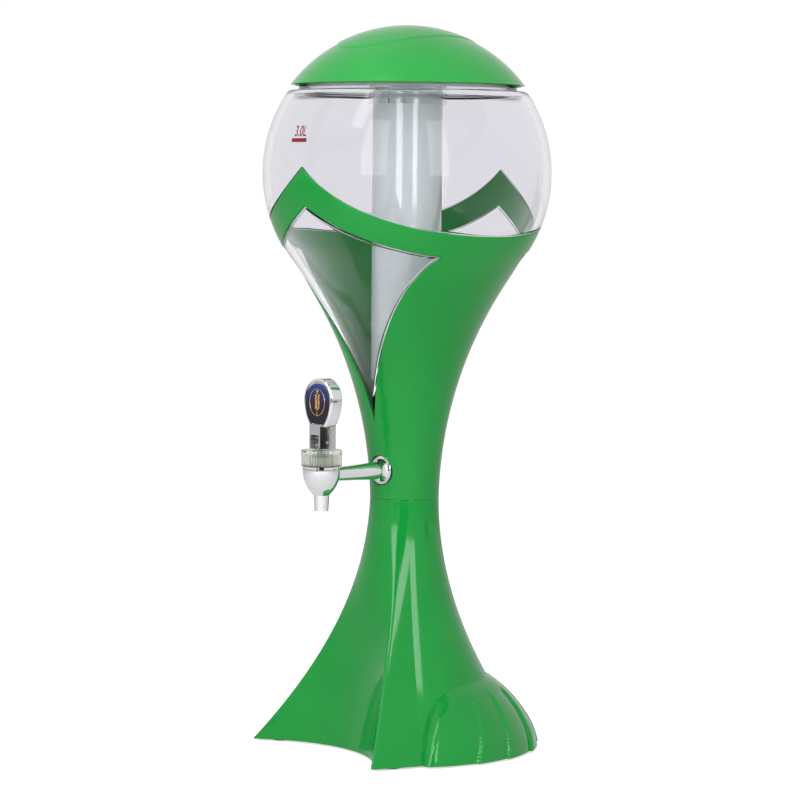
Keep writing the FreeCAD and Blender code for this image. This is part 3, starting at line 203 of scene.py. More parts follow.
def on_goblet(turn, height, inset=0.0):
    """A point at a turn from the tap, in degrees, on the goblet's surface moved in by the inset."""
    radius = goblet_radius(height, inset)
    return np.stack([radius * np.sin(np.radians(turn)), -radius * np.cos(np.radians(turn)),
                     height + 0 * radius], -1)


def turned(profile, turns):
    """A profile of radius and height carried round the tower's axis, at turns from the tap in degrees."""
    radius, height = np.asarray(profile, float).T
    angle = np.radians(turns)[:, None]
    return np.stack([radius * np.sin(angle), -radius * np.cos(angle), height + 0 * angle], -1)


def edge_line(arc, turns):
    """Height of an edge drawn from the front, and the cosine of its slope on the surface, at each turn.
    The turn's sine is the edge's reach over the goblet's radius."""
    reach, height = arc_points(*arc, 600).T
    turn = np.degrees(np.arcsin(np.clip(reach / goblet_radius(height), -1, 1)))
    slope = np.gradient(height) / np.maximum(np.gradient(np.radians(turn)), 1e-5) / goblet_radius(height)
    folded = np.minimum(np.abs(turns), 180 - np.abs(turns))
    order = np.argsort(turn)
    return (np.interp(folded, turn[order], height[order]),
            np.interp(folded, turn[order], (1 / np.hypot(1, slope))[order]))


def rounding(distance, radius):
    """How far a rounded edge lies inside the surface at a distance from it: a quarter circle."""
    left = np.clip(radius - distance, 0, radius)
    return radius - np.sqrt(radius ** 2 - left ** 2)


def weld(mesh, distance):
    """Joins a mesh's doubled points and turns its faces outward."""
    solid = bmesh.new()
    solid.from_mesh(mesh)
    bmesh.ops.remove_doubles(solid, verts=solid.verts, dist=distance)
    bmesh.ops.recalc_face_normals(solid, faces=solid.faces)
    solid.to_mesh(mesh)
    solid.free()


def grid_faces(rows, columns):
    """Four-sided faces between the points of a grid that are counted row by row."""
    index = np.arange(rows * columns).reshape(rows, columns)
    return np.stack([index[:-1, :-1], index[1:, :-1], index[1:, 1:], index[:-1, 1:]], -1)


def build(name, sheets, material, body, *nodes, slot=None, doubles=2e-6):
    """One piece from grids of points in millimetres, each alone or with a mask of the faces it keeps.
    It rides on a body, stands for the nodes and takes the material it is given. The slot is not used."""
    points, faces, first = [], [], 0
    for sheet in sheets:
        grid, keep = sheet if isinstance(sheet, tuple) else (sheet, np.s_[:])
        faces.append((first + grid_faces(*grid.shape[:2]))[keep].reshape(-1, 4))
        points.append(grid.reshape(-1, 3))
        first += len(points[-1])
    mesh = bpy.data.meshes.new(name)
    mesh.from_pydata((np.concatenate(points) / 1000).tolist(), [], np.concatenate(faces).tolist())
    weld(mesh, doubles)
    mesh.shade_smooth()
    mesh.set_sharp_from_angle(angle=math.radians(38))
    mesh.materials.append(material)
    piece = bpy.data.objects.new(name, mesh)
    bpy.context.scene.collection.objects.link(piece)
    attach(piece, body)
    if nodes:
        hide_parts(*nodes)


def dress_green(tree, shader, low, high):
    """Moulded ABS: tone that drifts over 7 cm, rubs of 2 cm that dull the gloss, a soft waviness of the
    pressing 3 cm long, and an orange peel of 2 mm."""
    place = add(tree, "ShaderNodeTexCoord").outputs["Object"]
    gloss = shader.inputs["Roughness"].default_value
    peel = bumped(tree, noise(tree, place, 480, 1), 0.03, 0.0002)
    feed(tree, shader,
         Base_Color=toned(tree, noise(tree, place, 14, 2), (0.35, linear(low)), (0.65, linear(high))),
         Roughness=mapped(tree, noise(tree, place, 55, 5, Roughness=0.65), (0.35, 0.75), (gloss, gloss + 0.05)),
         Normal=bumped(tree, noise(tree, place, 38, 0), 0.12, 0.0006, Normal=peel))


# Glossy injection-moulded ABS: saturated mid green under a clear, even gloss.
green_abs, green_tree, green_shader = new_finish("moulded_green_abs", Roughness=0.08, IOR=1.5,
                                                 Specular_IOR_Level=0.34)
dress_green(green_tree, green_shader, "#0B8B34", "#139239")

# Columns of the shell's grid crowd round the tap and the windows, and mirror front to back.
corner_turn = math.degrees(math.asin(WINDOW_SIDE[2][0] / goblet_radius(np.array(WINDOW_SIDE[2][1]))))
quarter = np.concatenate([np.linspace(0, BLOCK_TURN, 27), np.linspace(BLOCK_TURN, corner_turn, 19)[1:],
                          np.linspace(corner_turn, 90, 20)[1:]])
half_round = np.concatenate([quarter, 180 - quarter[-2::-1]])
turns = np.concatenate([-half_round[:0:-1], half_round])
column = turns[:, None]
folded_turns = np.minimum(np.abs(turns), 180 - np.abs(turns))
cut = (folded_turns < corner_turn - 1e-6)[:, None]
uncut_faces = np.maximum(folded_turns[:-1], folded_turns[1:]) > corner_turn + 1e-6
rim_z, rim_slope = edge_line(RIM, column)
top_z, top_slope = edge_line(WINDOW_TOP, column)
side_z, side_slope = edge_line(WINDOW_SIDE, column)
top_z = np.where(cut, top_z, WINDOW_TOP[2][1])
side_z = np.where(cut, side_z, WINDOW_SIDE[2][1])

# Rows follow the seam, the tap's band and the windows' lower edge, then the upper edge and the rim. Where
# no window is cut, the rows of its rounded edges lie flat in the wall, five times as close.
quarter_steps = 1 - np.cos(np.linspace(0, math.pi / 2, 6))
edge_steps = EDGE_ROUND * quarter_steps
seam_steps = SEAM_ROUND * quarter_steps
edge_inset = rounding(edge_steps[:-1], EDGE_ROUND)
crowding = np.where(cut, 1, 0.2)

fixed = np.concatenate([SEAM_Z + seam_steps, BAND_Z[:1], np.linspace(*BLOCK_Z, 15), BAND_Z[1:]])
side_steps = edge_steps / side_slope * crowding
climb = rows_between(BAND_Z[1], side_z - side_steps[:, -1:], 42)[:, 1:]
low_heights = np.concatenate([np.tile(fixed, (len(turns), 1)), climb, side_z - side_steps[:, -2::-1]], 1)
low_inset = np.concatenate([np.tile(rounding(seam_steps, SEAM_ROUND), (len(turns), 1)),
                            np.zeros((len(turns), len(fixed) - len(seam_steps) + climb.shape[1])),
                            np.where(cut, edge_inset[::-1], 0)], 1)

top_steps = edge_steps / top_slope * crowding
rim_steps = edge_steps / rim_slope
chevron = rows_between(top_z + top_steps[:, -1:], rim_z - rim_steps[:, -1:], 15)
high_heights = np.concatenate([top_z + top_steps[:, :-1], chevron, rim_z - rim_steps[:, -2::-1]], 1)
high_inset = np.concatenate([np.where(cut, edge_inset, 0), np.zeros_like(chevron),
                             np.tile(edge_inset[::-1], (len(turns), 1))], 1)


def shell_sheet(heights, inset, window_row):
    """A closed wall: up the outside, over the edge, down the inside, and back to the start. The faces of
    one row, which close the wall at the window, are left out where no window is cut."""
    outside = on_goblet(column, heights, inset)
    inside = on_goblet(column, heights[:, ::-1], SHELL_WALL - inset[:, ::-1])
    grid = np.concatenate([outside, inside, outside[:, :1]], 1)
    keep = np.ones((grid.shape[0] - 1, grid.shape[1] - 1), bool)
    keep[uncut_faces, window_row] = False
    return grid, keep


low_grid, low_keep = shell_sheet(low_heights, low_inset, low_heights.shape[1] - 1)
high_grid, high_keep = shell_sheet(high_heights, high_inset, 2 * high_heights.shape[1] - 1)
block_rows = np.flatnonzero((fixed >= BLOCK_Z[0]) & (fixed <= BLOCK_Z[1]))
block_columns = np.flatnonzero(np.abs(turns) <= BLOCK_TURN + 1e-6)
for first_row in (block_rows[0], 2 * low_heights.shape[1] - 1 - block_rows[-1]):
    low_keep[block_columns[0]:block_columns[-1], first_row:first_row + len(block_rows) - 1] = False


def tap_hole_sheet():
    """Rings that run from the round hole to the border of a block of the shell's grid, outside, over
    the hole's rounded edge, and back along the inside."""
    level, turn = fixed[block_rows], turns[block_columns]
    border_turn = np.concatenate([turn[:-1], np.full(len(level) - 1, turn[-1]), turn[:0:-1],
                                  np.full(len(level), turn[0])])
    border_z = np.concatenate([np.full(len(turn) - 1, level[0]), level[:-1],
                               np.full(len(turn) - 1, level[-1]), level[::-1]])
    border = np.stack([goblet_radius(border_z) * np.sin(np.radians(border_turn)), border_z - TAP_Z], -1)
    way = np.arctan2(border[:, 1], border[:, 0])
    hole = np.stack([np.cos(way), np.sin(way)], -1)
    near = hole * (TAP_HOLE_R + EDGE_ROUND)
    rings = np.concatenate([hole * (TAP_HOLE_R + edge_steps)[:, None, None],
                            near + (border - near) * np.linspace(0, 1, 7)[1:, None, None]])
    inset = rounding(np.linalg.norm(rings, axis=-1) - TAP_HOLE_R, EDGE_ROUND)
    height = rings[..., 1] + TAP_Z
    layers = []
    for depth in (inset, SHELL_WALL - inset):
        radius = goblet_radius(height, depth)
        across = rings[..., 0].copy()
        across[-1] *= radius[-1] / goblet_radius(height[-1])
        layers.append(np.stack([across, -np.sqrt(radius ** 2 - across ** 2), height], -1))
    return np.concatenate([layers[0][::-1], layers[1]])


build("goblet", [(low_grid, low_keep), (high_grid, high_keep), tap_hole_sheet(),
                 turned(FLOOR_RING, np.linspace(-180, 180, 97))],
      green_abs, "tower", "cup_shell", slot="green_plastic")

# Stage. A white floor and a white surround as in a catalogue picture, two tall soft strip lamps left and
# right of the camera and one overhead at the far left. Black cards out of sight deepen the reflections.

# The surround and the floor shine fully at the camera and through clear walls, less on the part.
WORLD_LIGHT, WORLD_GLOSS = (0.45, 1.0), 0.64
FLOOR_LIGHT, FLOOR_GLOSS = (0.0, 0.6), 0.05


def plain_view(tree, gloss):
    """One for a ray that the camera sees straight or through a clear wall, a share for a mirrored one."""
    ray = add(tree, "ShaderNodeLightPath")
    view = add(tree, "ShaderNodeMath", {0: ray.outputs["Is Glossy Ray"], 1: gloss}, operation="MULTIPLY")
    for kind in ("Is Camera Ray", "Is Transmission Ray"):
        view = add(tree, "ShaderNodeMath", {0: view.outputs[0], 1: ray.outputs[kind]}, operation="MAXIMUM")
    return view.outputs[0]


studio = bpy.data.worlds.new("white studio")
bpy.context.scene.world = studio
studio.use_nodes = True
surround = studio.node_tree.nodes["Background"]
surround.inputs["Color"].default_value = (1, 1, 1, 1)
feed(studio.node_tree, surround,
     Strength=mapped(studio.node_tree, plain_view(studio.node_tree, WORLD_GLOSS), (0, 1), WORLD_LIGHT))
bpy.context.scene.view_settings.view_transform = "Standard"


def beside_camera(turn, reach, height):
    """A place at a turn from the camera's own direction, in degrees, to the right as the camera sees it."""
    way = -math.pi / 4 + math.radians(turn)
    return np.array([reach * math.cos(way), reach * math.sin(way), height])


def facing(place, target):
    """The matrix of a lamp at a place, whose -Z looks at the target."""
    back = np.asarray(place, float) - np.asarray(target, float)
    back /= np.linalg.norm(back)
    side = np.cross([0, 0, 1], back)
    side /= np.linalg.norm(side)
    matrix = np.eye(4)
    matrix[:3] = np.stack([side, np.cross(back, side), back, place], 1)
    return Matrix(matrix.tolist())


# Each lamp: its width, height and power, its turn, reach and height, and the height it looks at.
LAMPS = (("left strip", 0.62, 1.5, 17, (-26, 1.7, 1.11), 1.11),
         ("right strip", 0.46, 1.5, 13, (25, 1.7, 1.11), 1.11),
         ("overhead", 0.34, 1.3, 8, (-46, 1.2, 1.9), 0.2))
for name, width, height, power, place, target_z in LAMPS:
    lamp = bpy.data.objects.new(name, bpy.data.lights.new(name, "AREA"))
    lamp.data.shape = "RECTANGLE"
    lamp.data.size = width
    lamp.data.size_y = height
    lamp.data.energy = power
    lamp.matrix_world = facing(beside_camera(*place), (0, 0, target_z))
    lamp.visible_camera = False
    bpy.context.scene.collection.objects.link(lamp)


def stage_sheet(name, corners, material, shown=True):
    """A flat staged surface from its four corners, in metres, with eight rows and columns of faces."""
    a, b, c, d = (np.asarray(corner, float) for corner in corners)
    s, t = np.meshgrid(np.linspace(0, 1, 9), np.linspace(0, 1, 9), indexing="ij")
    s, t = s[..., None], t[..., None]
    grid = (a * (1 - s) + b * s) * (1 - t) + (d * (1 - s) + c * s) * t
    mesh = bpy.data.meshes.new(name)
    mesh.from_pydata(grid.reshape(-1, 3).tolist(), [], grid_faces(9, 9).reshape(-1, 4).tolist())
    mesh.materials.append(material)
    sheet = bpy.data.objects.new(name, mesh)
    bpy.context.scene.collection.objects.link(sheet)
    sheet.visible_camera = shown
    sheet.visible_transmission = shown
    return sheet


white_floor, floor_tree, floor_shader = new_finish("white_sweep_paper", Roughness=0.9,
                                                   Base_Color=(0.9, 0.9, 0.9, 1), Emission_Color=(1, 1, 1, 1))
feed(floor_tree, floor_shader,
     Emission_Strength=mapped(floor_tree, plain_view(floor_tree, FLOOR_GLOSS), (0, 1), FLOOR_LIGHT))
stage_sheet("floor", ((-4, -4, 0), (4, -4, 0), (4, 4, 0), (-4, 4, 0)), white_floor)

black_card, _, _ = new_finish("black_card", Roughness=0.9, Base_Color=(0.015, 0.015, 0.015, 1))


def upright_card(name, left, right, top):
    """A black card that stands on edge between two places, from their height up to the top."""
    return stage_sheet(name, (left, right, (*right[:2], top), (*left[:2], top)), black_card, False)


# One card stands behind the camera, one before the left strip's lower end, and a small one, which only
# mirroring surfaces meet, at the far right.
upright_card("dark card", beside_camera(-14, 3.2, 0), beside_camera(15, 3.2, 0), 2.0)
upright_card("lamp foot", beside_camera(-29, 1.6, 0.02), beside_camera(-23, 1.6, 0.02), 0.32)
side_card = upright_card("side card", (0.463, 0.2, 0.16), (0.463, 0.354, 0.16), 0.186)
side_card.visible_shadow = False
side_card.visible_diffuse = False

# Clear vessel. Blow-moulded clear polycarbonate, 2.6 mm thick, that sits in the goblet. It steps out over
# the goblet's rim, so the globe runs on flush, and fills both windows with a raised panel. A stud on its
# foot takes the nut that clamps goblet and pedestal together.

GLASS = 2.6
SEAT = SHELL_WALL + 0.3
WALL_FOOT_Z = 185.2
WALL_TOP_Z = 472.4
INNER_Z = (470.6, 191.6)
SHOULDER_Z = 473.5
MOUTH_Z = 480.2
NECK_R = 78.5
FOOT_PROFILE = ((0.0, 159.6), (8.3, 159.6), (8.8, 160.1), (8.8, 184.3), (9.1, 184.6), (21.6, 184.6))
NECK_PROFILE = ((85.9, 472.8), (85.7, 473.25), (85.3, SHOULDER_Z), (79.4, SHOULDER_Z), (78.7, 473.9),
                (NECK_R, 474.5), (NECK_R, 479.6), (78.3, 480.0), (77.9, MOUTH_Z), (76.5, MOUTH_Z),
                (76.1, 480.0), (75.9, 479.6), (75.9, 471.4), (76.3, 470.9))
FLOOR_PROFILE = ((16.0, 190.6), (0.0, 190.6))
# A panel starts a little inside the window and rises in a quarter round. Its rows crowd on that edge.
PANEL_RISE = 2.0
PANEL_GAP = 0.9
PANEL_ROUND = 1.3
PANEL_STEPS = np.array([0.5, 0.9, 1.0, 1.15, 1.4, 1.75, 2.1, 2.6, 3.4])
# The outside steps out to the goblet's own surface over the rim: heights above the ledge, and insets.
LEDGE_GAP = 0.3
LEDGE_STEPS = np.array([0.0, 0.12, 0.5])
LEDGE_INSET = np.array([0.5, 0.15, 0.0])
LEDGE_TOP = 1.5


def panel_rise(distance):
    """A raised panel's height at a distance inside the window's outline: a quarter round, then flat."""
    rounded = np.clip((distance - PANEL_GAP) / PANEL_ROUND, 0, 1)
    return PANEL_RISE * np.sqrt(1 - (1 - rounded) ** 2)


opening = np.maximum(top_z - side_z, 0) * np.minimum(side_slope, top_slope)
panel_steps = np.minimum(1, 0.45 * opening / PANEL_STEPS[-1]) * PANEL_STEPS
panel_low = side_z + panel_steps / side_slope
panel_high = top_z - panel_steps[:, ::-1] / top_slope
panel_mid = rows_between(panel_low[:, -1:], panel_high[:, :1], 18)[:, 1:-1]
ledge_z = rim_z + LEDGE_GAP
below = rows_between(WALL_FOOT_Z, side_z, 44)
behind_rim = rows_between(top_z, ledge_z, 10)
globe = rows_between(ledge_z + LEDGE_TOP, WALL_TOP_Z, 30)
wall_heights = np.concatenate([below, panel_low, panel_mid, panel_high, behind_rim, ledge_z + LEDGE_STEPS,
                               globe], 1)
wall_inset = np.concatenate([
    np.full_like(below, SEAT), SEAT - panel_rise(panel_steps),
    SEAT - panel_rise(panel_steps[:, -1:]) + np.zeros_like(panel_mid), SEAT - panel_rise(panel_steps[:, ::-1]),
    np.full_like(behind_rim, SEAT), np.tile(LEDGE_INSET, (len(turns), 1)), np.zeros_like(globe)], 1)
inner_heights = np.tile(np.linspace(*INNER_Z, 90), (len(turns), 1))


def let_light_in(tree, shader, kept):
    """Shadow and diffuse rays pass a clear wall straight, as caustics would, apart from the share kept."""
    ray = add(tree, "ShaderNodeLightPath")
    either = add(tree, "ShaderNodeMath", {0: ray.outputs["Is Shadow Ray"], 1: ray.outputs["Is Diffuse Ray"]},
                 operation="MAXIMUM")
    feed(tree, shader, Alpha=mapped(tree, either.outputs[0], (0, 1), (1, kept)))


# Clear polycarbonate, blown against a polished mould: glassy, with a soft waviness and a slight haze of use.
clear_pc, clear_tree, clear_shader = new_finish("clear_polycarbonate", Base_Color=linear("#EDECF0"), IOR=1.5,
                                                Transmission_Weight=1.0, Specular_Tint=(0.22, 0.22, 0.22, 1))
clear_place = add(clear_tree, "ShaderNodeTexCoord").outputs["Object"]
feed(clear_tree, clear_shader,
     Normal=bumped(clear_tree, noise(clear_tree, clear_place, 26, 1), 0.08, 0.0006),
     Roughness=mapped(clear_tree, noise(clear_tree, clear_place, 90, 4), (0.4, 0.8), (0.01, 0.045)))
let_light_in(clear_tree, clear_shader, 0.1)

outer_wall = on_goblet(column, wall_heights, wall_inset)
inner_wall = on_goblet(column, inner_heights, GLASS + SEAT)
build("clear_vessel", [np.concatenate([turned(FOOT_PROFILE, turns), outer_wall, turned(NECK_PROFILE, turns),
                                       inner_wall, turned(FLOOR_PROFILE, turns)], 1)],
      clear_pc, "tower", "vessel", slot="clear_plastic")

# Lid. A pressed dome of the same green ABS, 2.4 mm thick, a millimetre proud of the globe. A long oval
# field stands a little higher on its top, with a soft edge, and runs from front to back.

LID_R = 105.2
LID_RIM_Z = 478.0
FIELD_HALF = (41.5, 58.3)
FIELD_RISE = 0.7
FIELD_EDGE = 1.5
lid_end = math.acos((LID_RIM_Z - GLOBE_Z) / LID_R)
lid_edge_r = LID_R * math.sin(lid_end)
# The rim's own profile: distances in from the dome's edge, and heights over the rim.
LID_EDGE = ((-0.02, 0.35), (0.08, 0.1), (0.35, 0.0), (2.6, 0.0), (2.95, 0.25))


def field_rise(across, along):
    """The oval field's height: a smooth step over the distance from the oval, which is one less the
    oval's reach, over the reach's own steepness. A third of the step lies outside."""
    oval = np.hypot(across / FIELD_HALF[0], along / FIELD_HALF[1])
    steepness = np.hypot(across / FIELD_HALF[0] ** 2, along / FIELD_HALF[1] ** 2) / np.maximum(oval, 1e-6)
    inside = np.clip((1 - oval) / np.maximum(steepness, 1e-6) / FIELD_EDGE + 1 / 3, 0, 1)
    return FIELD_RISE * inside ** 2 * (3 - 2 * inside)


# The same ABS, a little less glossy, because the top is wiped and handled. Its green is painted a tone lighter:
# painted light for the light that falls on the upward top.
lid_green_painted_light, lid_tree, lid_shader = new_finish("moulded_green_abs_lid_painted_light", Roughness=0.14, IOR=1.5,
                                             Specular_IOR_Level=0.34)
# Painted light: these greens are lighter than the goblet's and stand for the lit top.
dress_green(lid_tree, lid_shader, "#27A043", "#2FA84B")

lid_turns = np.linspace(-180, 180, 257)
lid_side, lid_front = np.sin(np.radians(lid_turns))[:, None], -np.cos(np.radians(lid_turns))[:, None]
tilt = np.linspace(0, lid_end - 0.8 / LID_R, 170)
lid_radius = LID_R + field_rise(LID_R * np.sin(tilt) * lid_side, LID_R * np.sin(tilt) * lid_front)
lid_top = np.stack([lid_radius * np.sin(tilt) * lid_side, lid_radius * np.sin(tilt) * lid_front,
                    GLOBE_Z + lid_radius * np.cos(tilt)], -1)
lid_edge = [(lid_edge_r - inward, LID_RIM_Z + upward) for inward, upward in LID_EDGE]
inner_tilt = np.linspace(lid_end - 0.011, 0, 40)
lid_in = np.stack([(LID_R - SHELL_WALL) * np.sin(inner_tilt),
                   GLOBE_Z + (LID_R - SHELL_WALL) * np.cos(inner_tilt)], -1)
lid_under = turned(np.concatenate([lid_edge, lid_in]), lid_turns)
build("lid", [np.concatenate([lid_top, lid_under], 1)], lid_green_painted_light, "lid", "lid_dome", slot="green_plastic")

# Pedestal. Green ABS as the goblet, hollow, 2.4 mm thick. From the neck it opens as a trumpet into two
# fins with a scoop between them, in front, and a low rounded lobe with shingle ribs round the back.

NECK_TURN = -7.0
BOTTOM_Z = 1.5
WALL, EDGE_WALL = 2.4, 2.2
FOOT_ROUND, NECK_ROUND = 0.7, 0.42
# From the neck down, each radius grows by a reach times a power of the way down.
FLARE, FLARE_POWER = 70.5, 2
FIN_REACH, FIN_POWER = 16.5, 1.5
SCOOP_REACH, SCOOP_POWER = 27.0, 1.2
FIN_TURN, PANEL_TURN, CREASE_TURN = 40.4, 50.7, 61.0
CREST_TRIM = 2.6
# The lobe's side is two arcs of radius and height. Its ends lean: the turn where it starts, by height.
LOBE_LOW = ((99.6, 0.0), (96.85, 11.3), (91.0, 22.6))
LOBE_HIGH = ((91.0, 22.6), (79.4, 37.4), (61.0, 52.0))
LOBE_END = 8.0
LOBE_START = ((0, 61.0), (10, 61.2), (22, 63.0), (33.5, 66.5), (42.3, 73.0), (47, 80.0), (49.6, 89.0),
              (51.5, 105.0), (52, 120.0))
# Ribs start at these turns at mid height and lean back by a turn for each millimetre of height.
RIB_TURNS = (68.0, 90.0, 106.7, 127.5, 150.0)
RIB_MID_Z, RIB_LEAN = 25, 0.24
RIB_RISE, RIB_SINK, RIB_EDGE = 0.6, 1.6, 1.1
RIB_TOP_Z, RIB_FADE = 46, 5
BACK_TURNS = np.concatenate([np.linspace(CREASE_TURN, CREASE_TURN + 7, 17)[1:],
                             np.linspace(CREASE_TURN + 7, 162, 150)[1:], np.linspace(162, 180, 12)[1:]])


def plan_point(turn, radius):
    """A point of the plan, as rows over the heights, at a turn from the middle of the scoop."""
    return np.stack([radius * np.sin(np.radians(turn)), -radius * np.cos(np.radians(turn))], -1)


def plan_arc(start, middle, end, share):
    """Points at given shares of the arcs through three points, one arc for each height."""
    fine = arc_points(start, middle, end, 241)
    place = np.clip(share, 0, 1) * 240
    low = np.minimum(place.astype(int), 239)
    part = (place - low)[..., None]
    rows = np.arange(len(fine))[:, None]
    return fine[rows, low] * (1 - part) + fine[rows, low + 1] * part


def fillet(before, corner, after):
    """A rounded corner: the curve that leaves one side, is drawn to the corner and joins the other."""
    t = np.linspace(0, 1, 7)[1:-1, None]
    return before[:, None] * (1 - t) ** 2 + corner[:, None] * 2 * t * (1 - t) + after[:, None] * t ** 2


def rib_height(leaned):
    """The ribs' height at a leaned turn. Each has a rounded front edge and sinks evenly to the foot of
    the next, like a shingle; the last edge only rises back to the lobe."""
    height = np.zeros_like(leaned)
    for first, last in zip(RIB_TURNS[:-1], RIB_TURNS[1:]):
        part = (leaned - first) / (last - first)
        front = np.clip((leaned - first) / RIB_EDGE, 0, 1)
        rise, sink = (RIB_RISE, RIB_SINK) if first > RIB_TURNS[0] else (0, 0)
        shingle = (rise + sink) * np.sqrt(1 - (1 - front) ** 2) - sink - (rise + RIB_SINK) * part
        height += np.where((part > 0) & (part < 1), shingle, 0)
    part = (leaned - RIB_TURNS[-1]) / RIB_EDGE
    edge = RIB_SINK * (np.sqrt(1 - (1 - np.clip(part, 0, 1)) ** 2) - 1)
    return height + np.where((part >= 0) & (part < 1), edge, 0)


def back_radius(heights, trumpet):
    """The radius behind the creases: the trumpet with the lobe, whose ends rise in a quarter round over
    the distance from their leaning start, and its ribs, which fade out at the top."""
    side = np.concatenate([arc_points(*LOBE_LOW, 60), arc_points(*LOBE_HIGH, 60)[1:]])
    bulge = np.maximum(np.interp(heights, side[:, 1], side[:, 0])[:, None] - trumpet, 0)
    bulge = np.where(heights[:, None] < LOBE_HIGH[2][1], bulge, 0)
    start_z, start_turn = np.array(LOBE_START).T
    start = np.interp(heights, start_z, start_turn)[:, None]
    lean = np.interp(heights, (start_z[1:] + start_z[:-1]) / 2, np.diff(start_turn) / np.diff(start_z))
    slant = np.hypot(1, np.radians(lean)[:, None] * trumpet)
    inside = np.maximum(np.radians(BACK_TURNS - start) * trumpet / slant, 0)
    near = np.clip(1 - inside / LOBE_END, 0, 1)
    ribs = rib_height(BACK_TURNS - RIB_LEAN * (heights[:, None] - RIB_MID_Z))
    fade = np.clip((RIB_TOP_Z - heights[:, None]) / RIB_FADE, 0, 1)
    return trumpet + bulge * np.sqrt(1 - near ** 2) + ribs * fade ** 2 * (3 - 2 * fade)


def moved_in(loop, inset, crests):
    """A closed outline moved in along its normals, less so near the fins' crests, where it is thin."""
    ahead = np.roll(loop[:, :-1], -1, 1) - np.roll(loop[:, :-1], 1, 1)
    outward = np.stack([ahead[..., 1], -ahead[..., 0]], -1)
    outward /= np.maximum(np.linalg.norm(outward, axis=-1, keepdims=True), 1e-9)
    off_crest = np.minimum(*(np.linalg.norm(loop[:, :-1] - crest[:, None], axis=-1, keepdims=True)
                             for crest in crests))
    moved = loop[:, :-1] - outward * np.minimum(inset[:, None, None], 0.3 + 0.35 * off_crest)
    return np.concatenate([moved, moved[:, :1]], 1)


def pedestal_sheet(heights, inset):
    """The outline at each height: the scoop's arc from crest to crest, a nearly flat panel from each
    crest to its crease, and the back. It is turned so that the scoop lies a little left of the tap."""
    down = 1 - heights / SEAM_Z
    trumpet = WAIST_R + FLARE * down ** FLARE_POWER
    fin = trumpet + FIN_REACH * down ** FIN_POWER
    scoop = WAIST_R + SCOOP_REACH * down ** SCOOP_POWER
    chord = math.cos(math.radians((CREASE_TURN - FIN_TURN) / 2))
    panel = (fin + trumpet) / 2 * (chord + (1 - chord) * (1 - down))
    left, middle, right = plan_point(-FIN_TURN, fin), plan_point(0, scoop), plan_point(FIN_TURN, fin)
    side, crease = plan_point(PANEL_TURN, panel), plan_point(CREASE_TURN, trumpet)
    trim = np.minimum(CREST_TRIM, 0.1 + 30 * down)[:, None]
    scoop_trim = trim / np.linalg.norm(right - left, axis=1)[:, None]
    panel_trim = trim / np.linalg.norm(crease - right, axis=1)[:, None]
    scoop_arc = plan_arc(left, middle, right, scoop_trim + (1 - 2 * scoop_trim) * np.linspace(0, 1, 61))
    panel_arc = plan_arc(right, side, crease, panel_trim + (1 - panel_trim) * np.linspace(0, 1, 21))
    back = plan_point(BACK_TURNS, back_radius(heights, trumpet[:, None]))
    half = np.concatenate([fillet(scoop_arc[:, -1], right, panel_arc[:, 0]), panel_arc, back], 1)
    mirrored = half[:, ::-1] * (-1, 1)
    loop = np.concatenate([scoop_arc, half, mirrored[:, 1:], scoop_arc[:, :1]], 1)
    x, y = np.moveaxis(moved_in(loop, inset, (left, right)), -1, 0)
    cos, sin = math.cos(math.radians(NECK_TURN)), math.sin(math.radians(NECK_TURN))
    return np.stack([x * cos - y * sin, x * sin + y * cos, heights[:, None] + 0 * x], -1)


foot_steps = FOOT_ROUND * (1 - np.cos(np.linspace(0, math.pi / 2, 5)))
neck_steps = foot_steps[::-1] / FOOT_ROUND * NECK_ROUND
out_heights = np.concatenate([BOTTOM_Z + foot_steps, np.linspace(3.2, 54, 62), np.linspace(55, 180, 64),
                              SEAM_Z - neck_steps])
out_inset = np.concatenate([rounding(foot_steps, FOOT_ROUND), np.zeros(62 + 64),
                            rounding(neck_steps, NECK_ROUND)])
in_heights = np.array([SEAM_Z, *np.linspace(176, 3, 44), BOTTOM_Z])
in_inset = np.array([EDGE_WALL, *[WALL] * 44, EDGE_WALL])
out_sheet = pedestal_sheet(out_heights, out_inset)
build("pedestal", [np.concatenate([out_sheet, pedestal_sheet(in_heights, in_inset), out_sheet[:1]])],
      green_abs, "tower", "base_shell", slot="green_plastic")

# Ice tube, liner, seals, nuts, feet and screws stay as the frame draws them, each with its own finish:
# frosted polypropylene, clear styrene, silicone, rubber, white nylon and bright steel.


def speckled(name, colour, spread, scale, roughness, **sockets):
    """A finish whose tone wanders by a spread over spots of a size, with its gloss and a fine bump."""
    material, tree, shader = new_finish(name, Roughness=roughness, **sockets)
    spots = noise(tree, add(tree, "ShaderNodeTexCoord").outputs["Object"], scale, 4)
    base = np.array(linear(colour)[:3])
    low, high = ((*np.clip(base * factor, 0, 1), 1) for factor in (1 - spread, 1 + spread))
    feed(tree, shader, Base_Color=toned(tree, spots, (0.35, low), (0.65, high)),
         Roughness=mapped(tree, spots, (0.3, 0.7), (roughness * 0.85, roughness * 1.2)),
         Normal=bumped(tree, spots, 0.06, 0.0002))
    return material


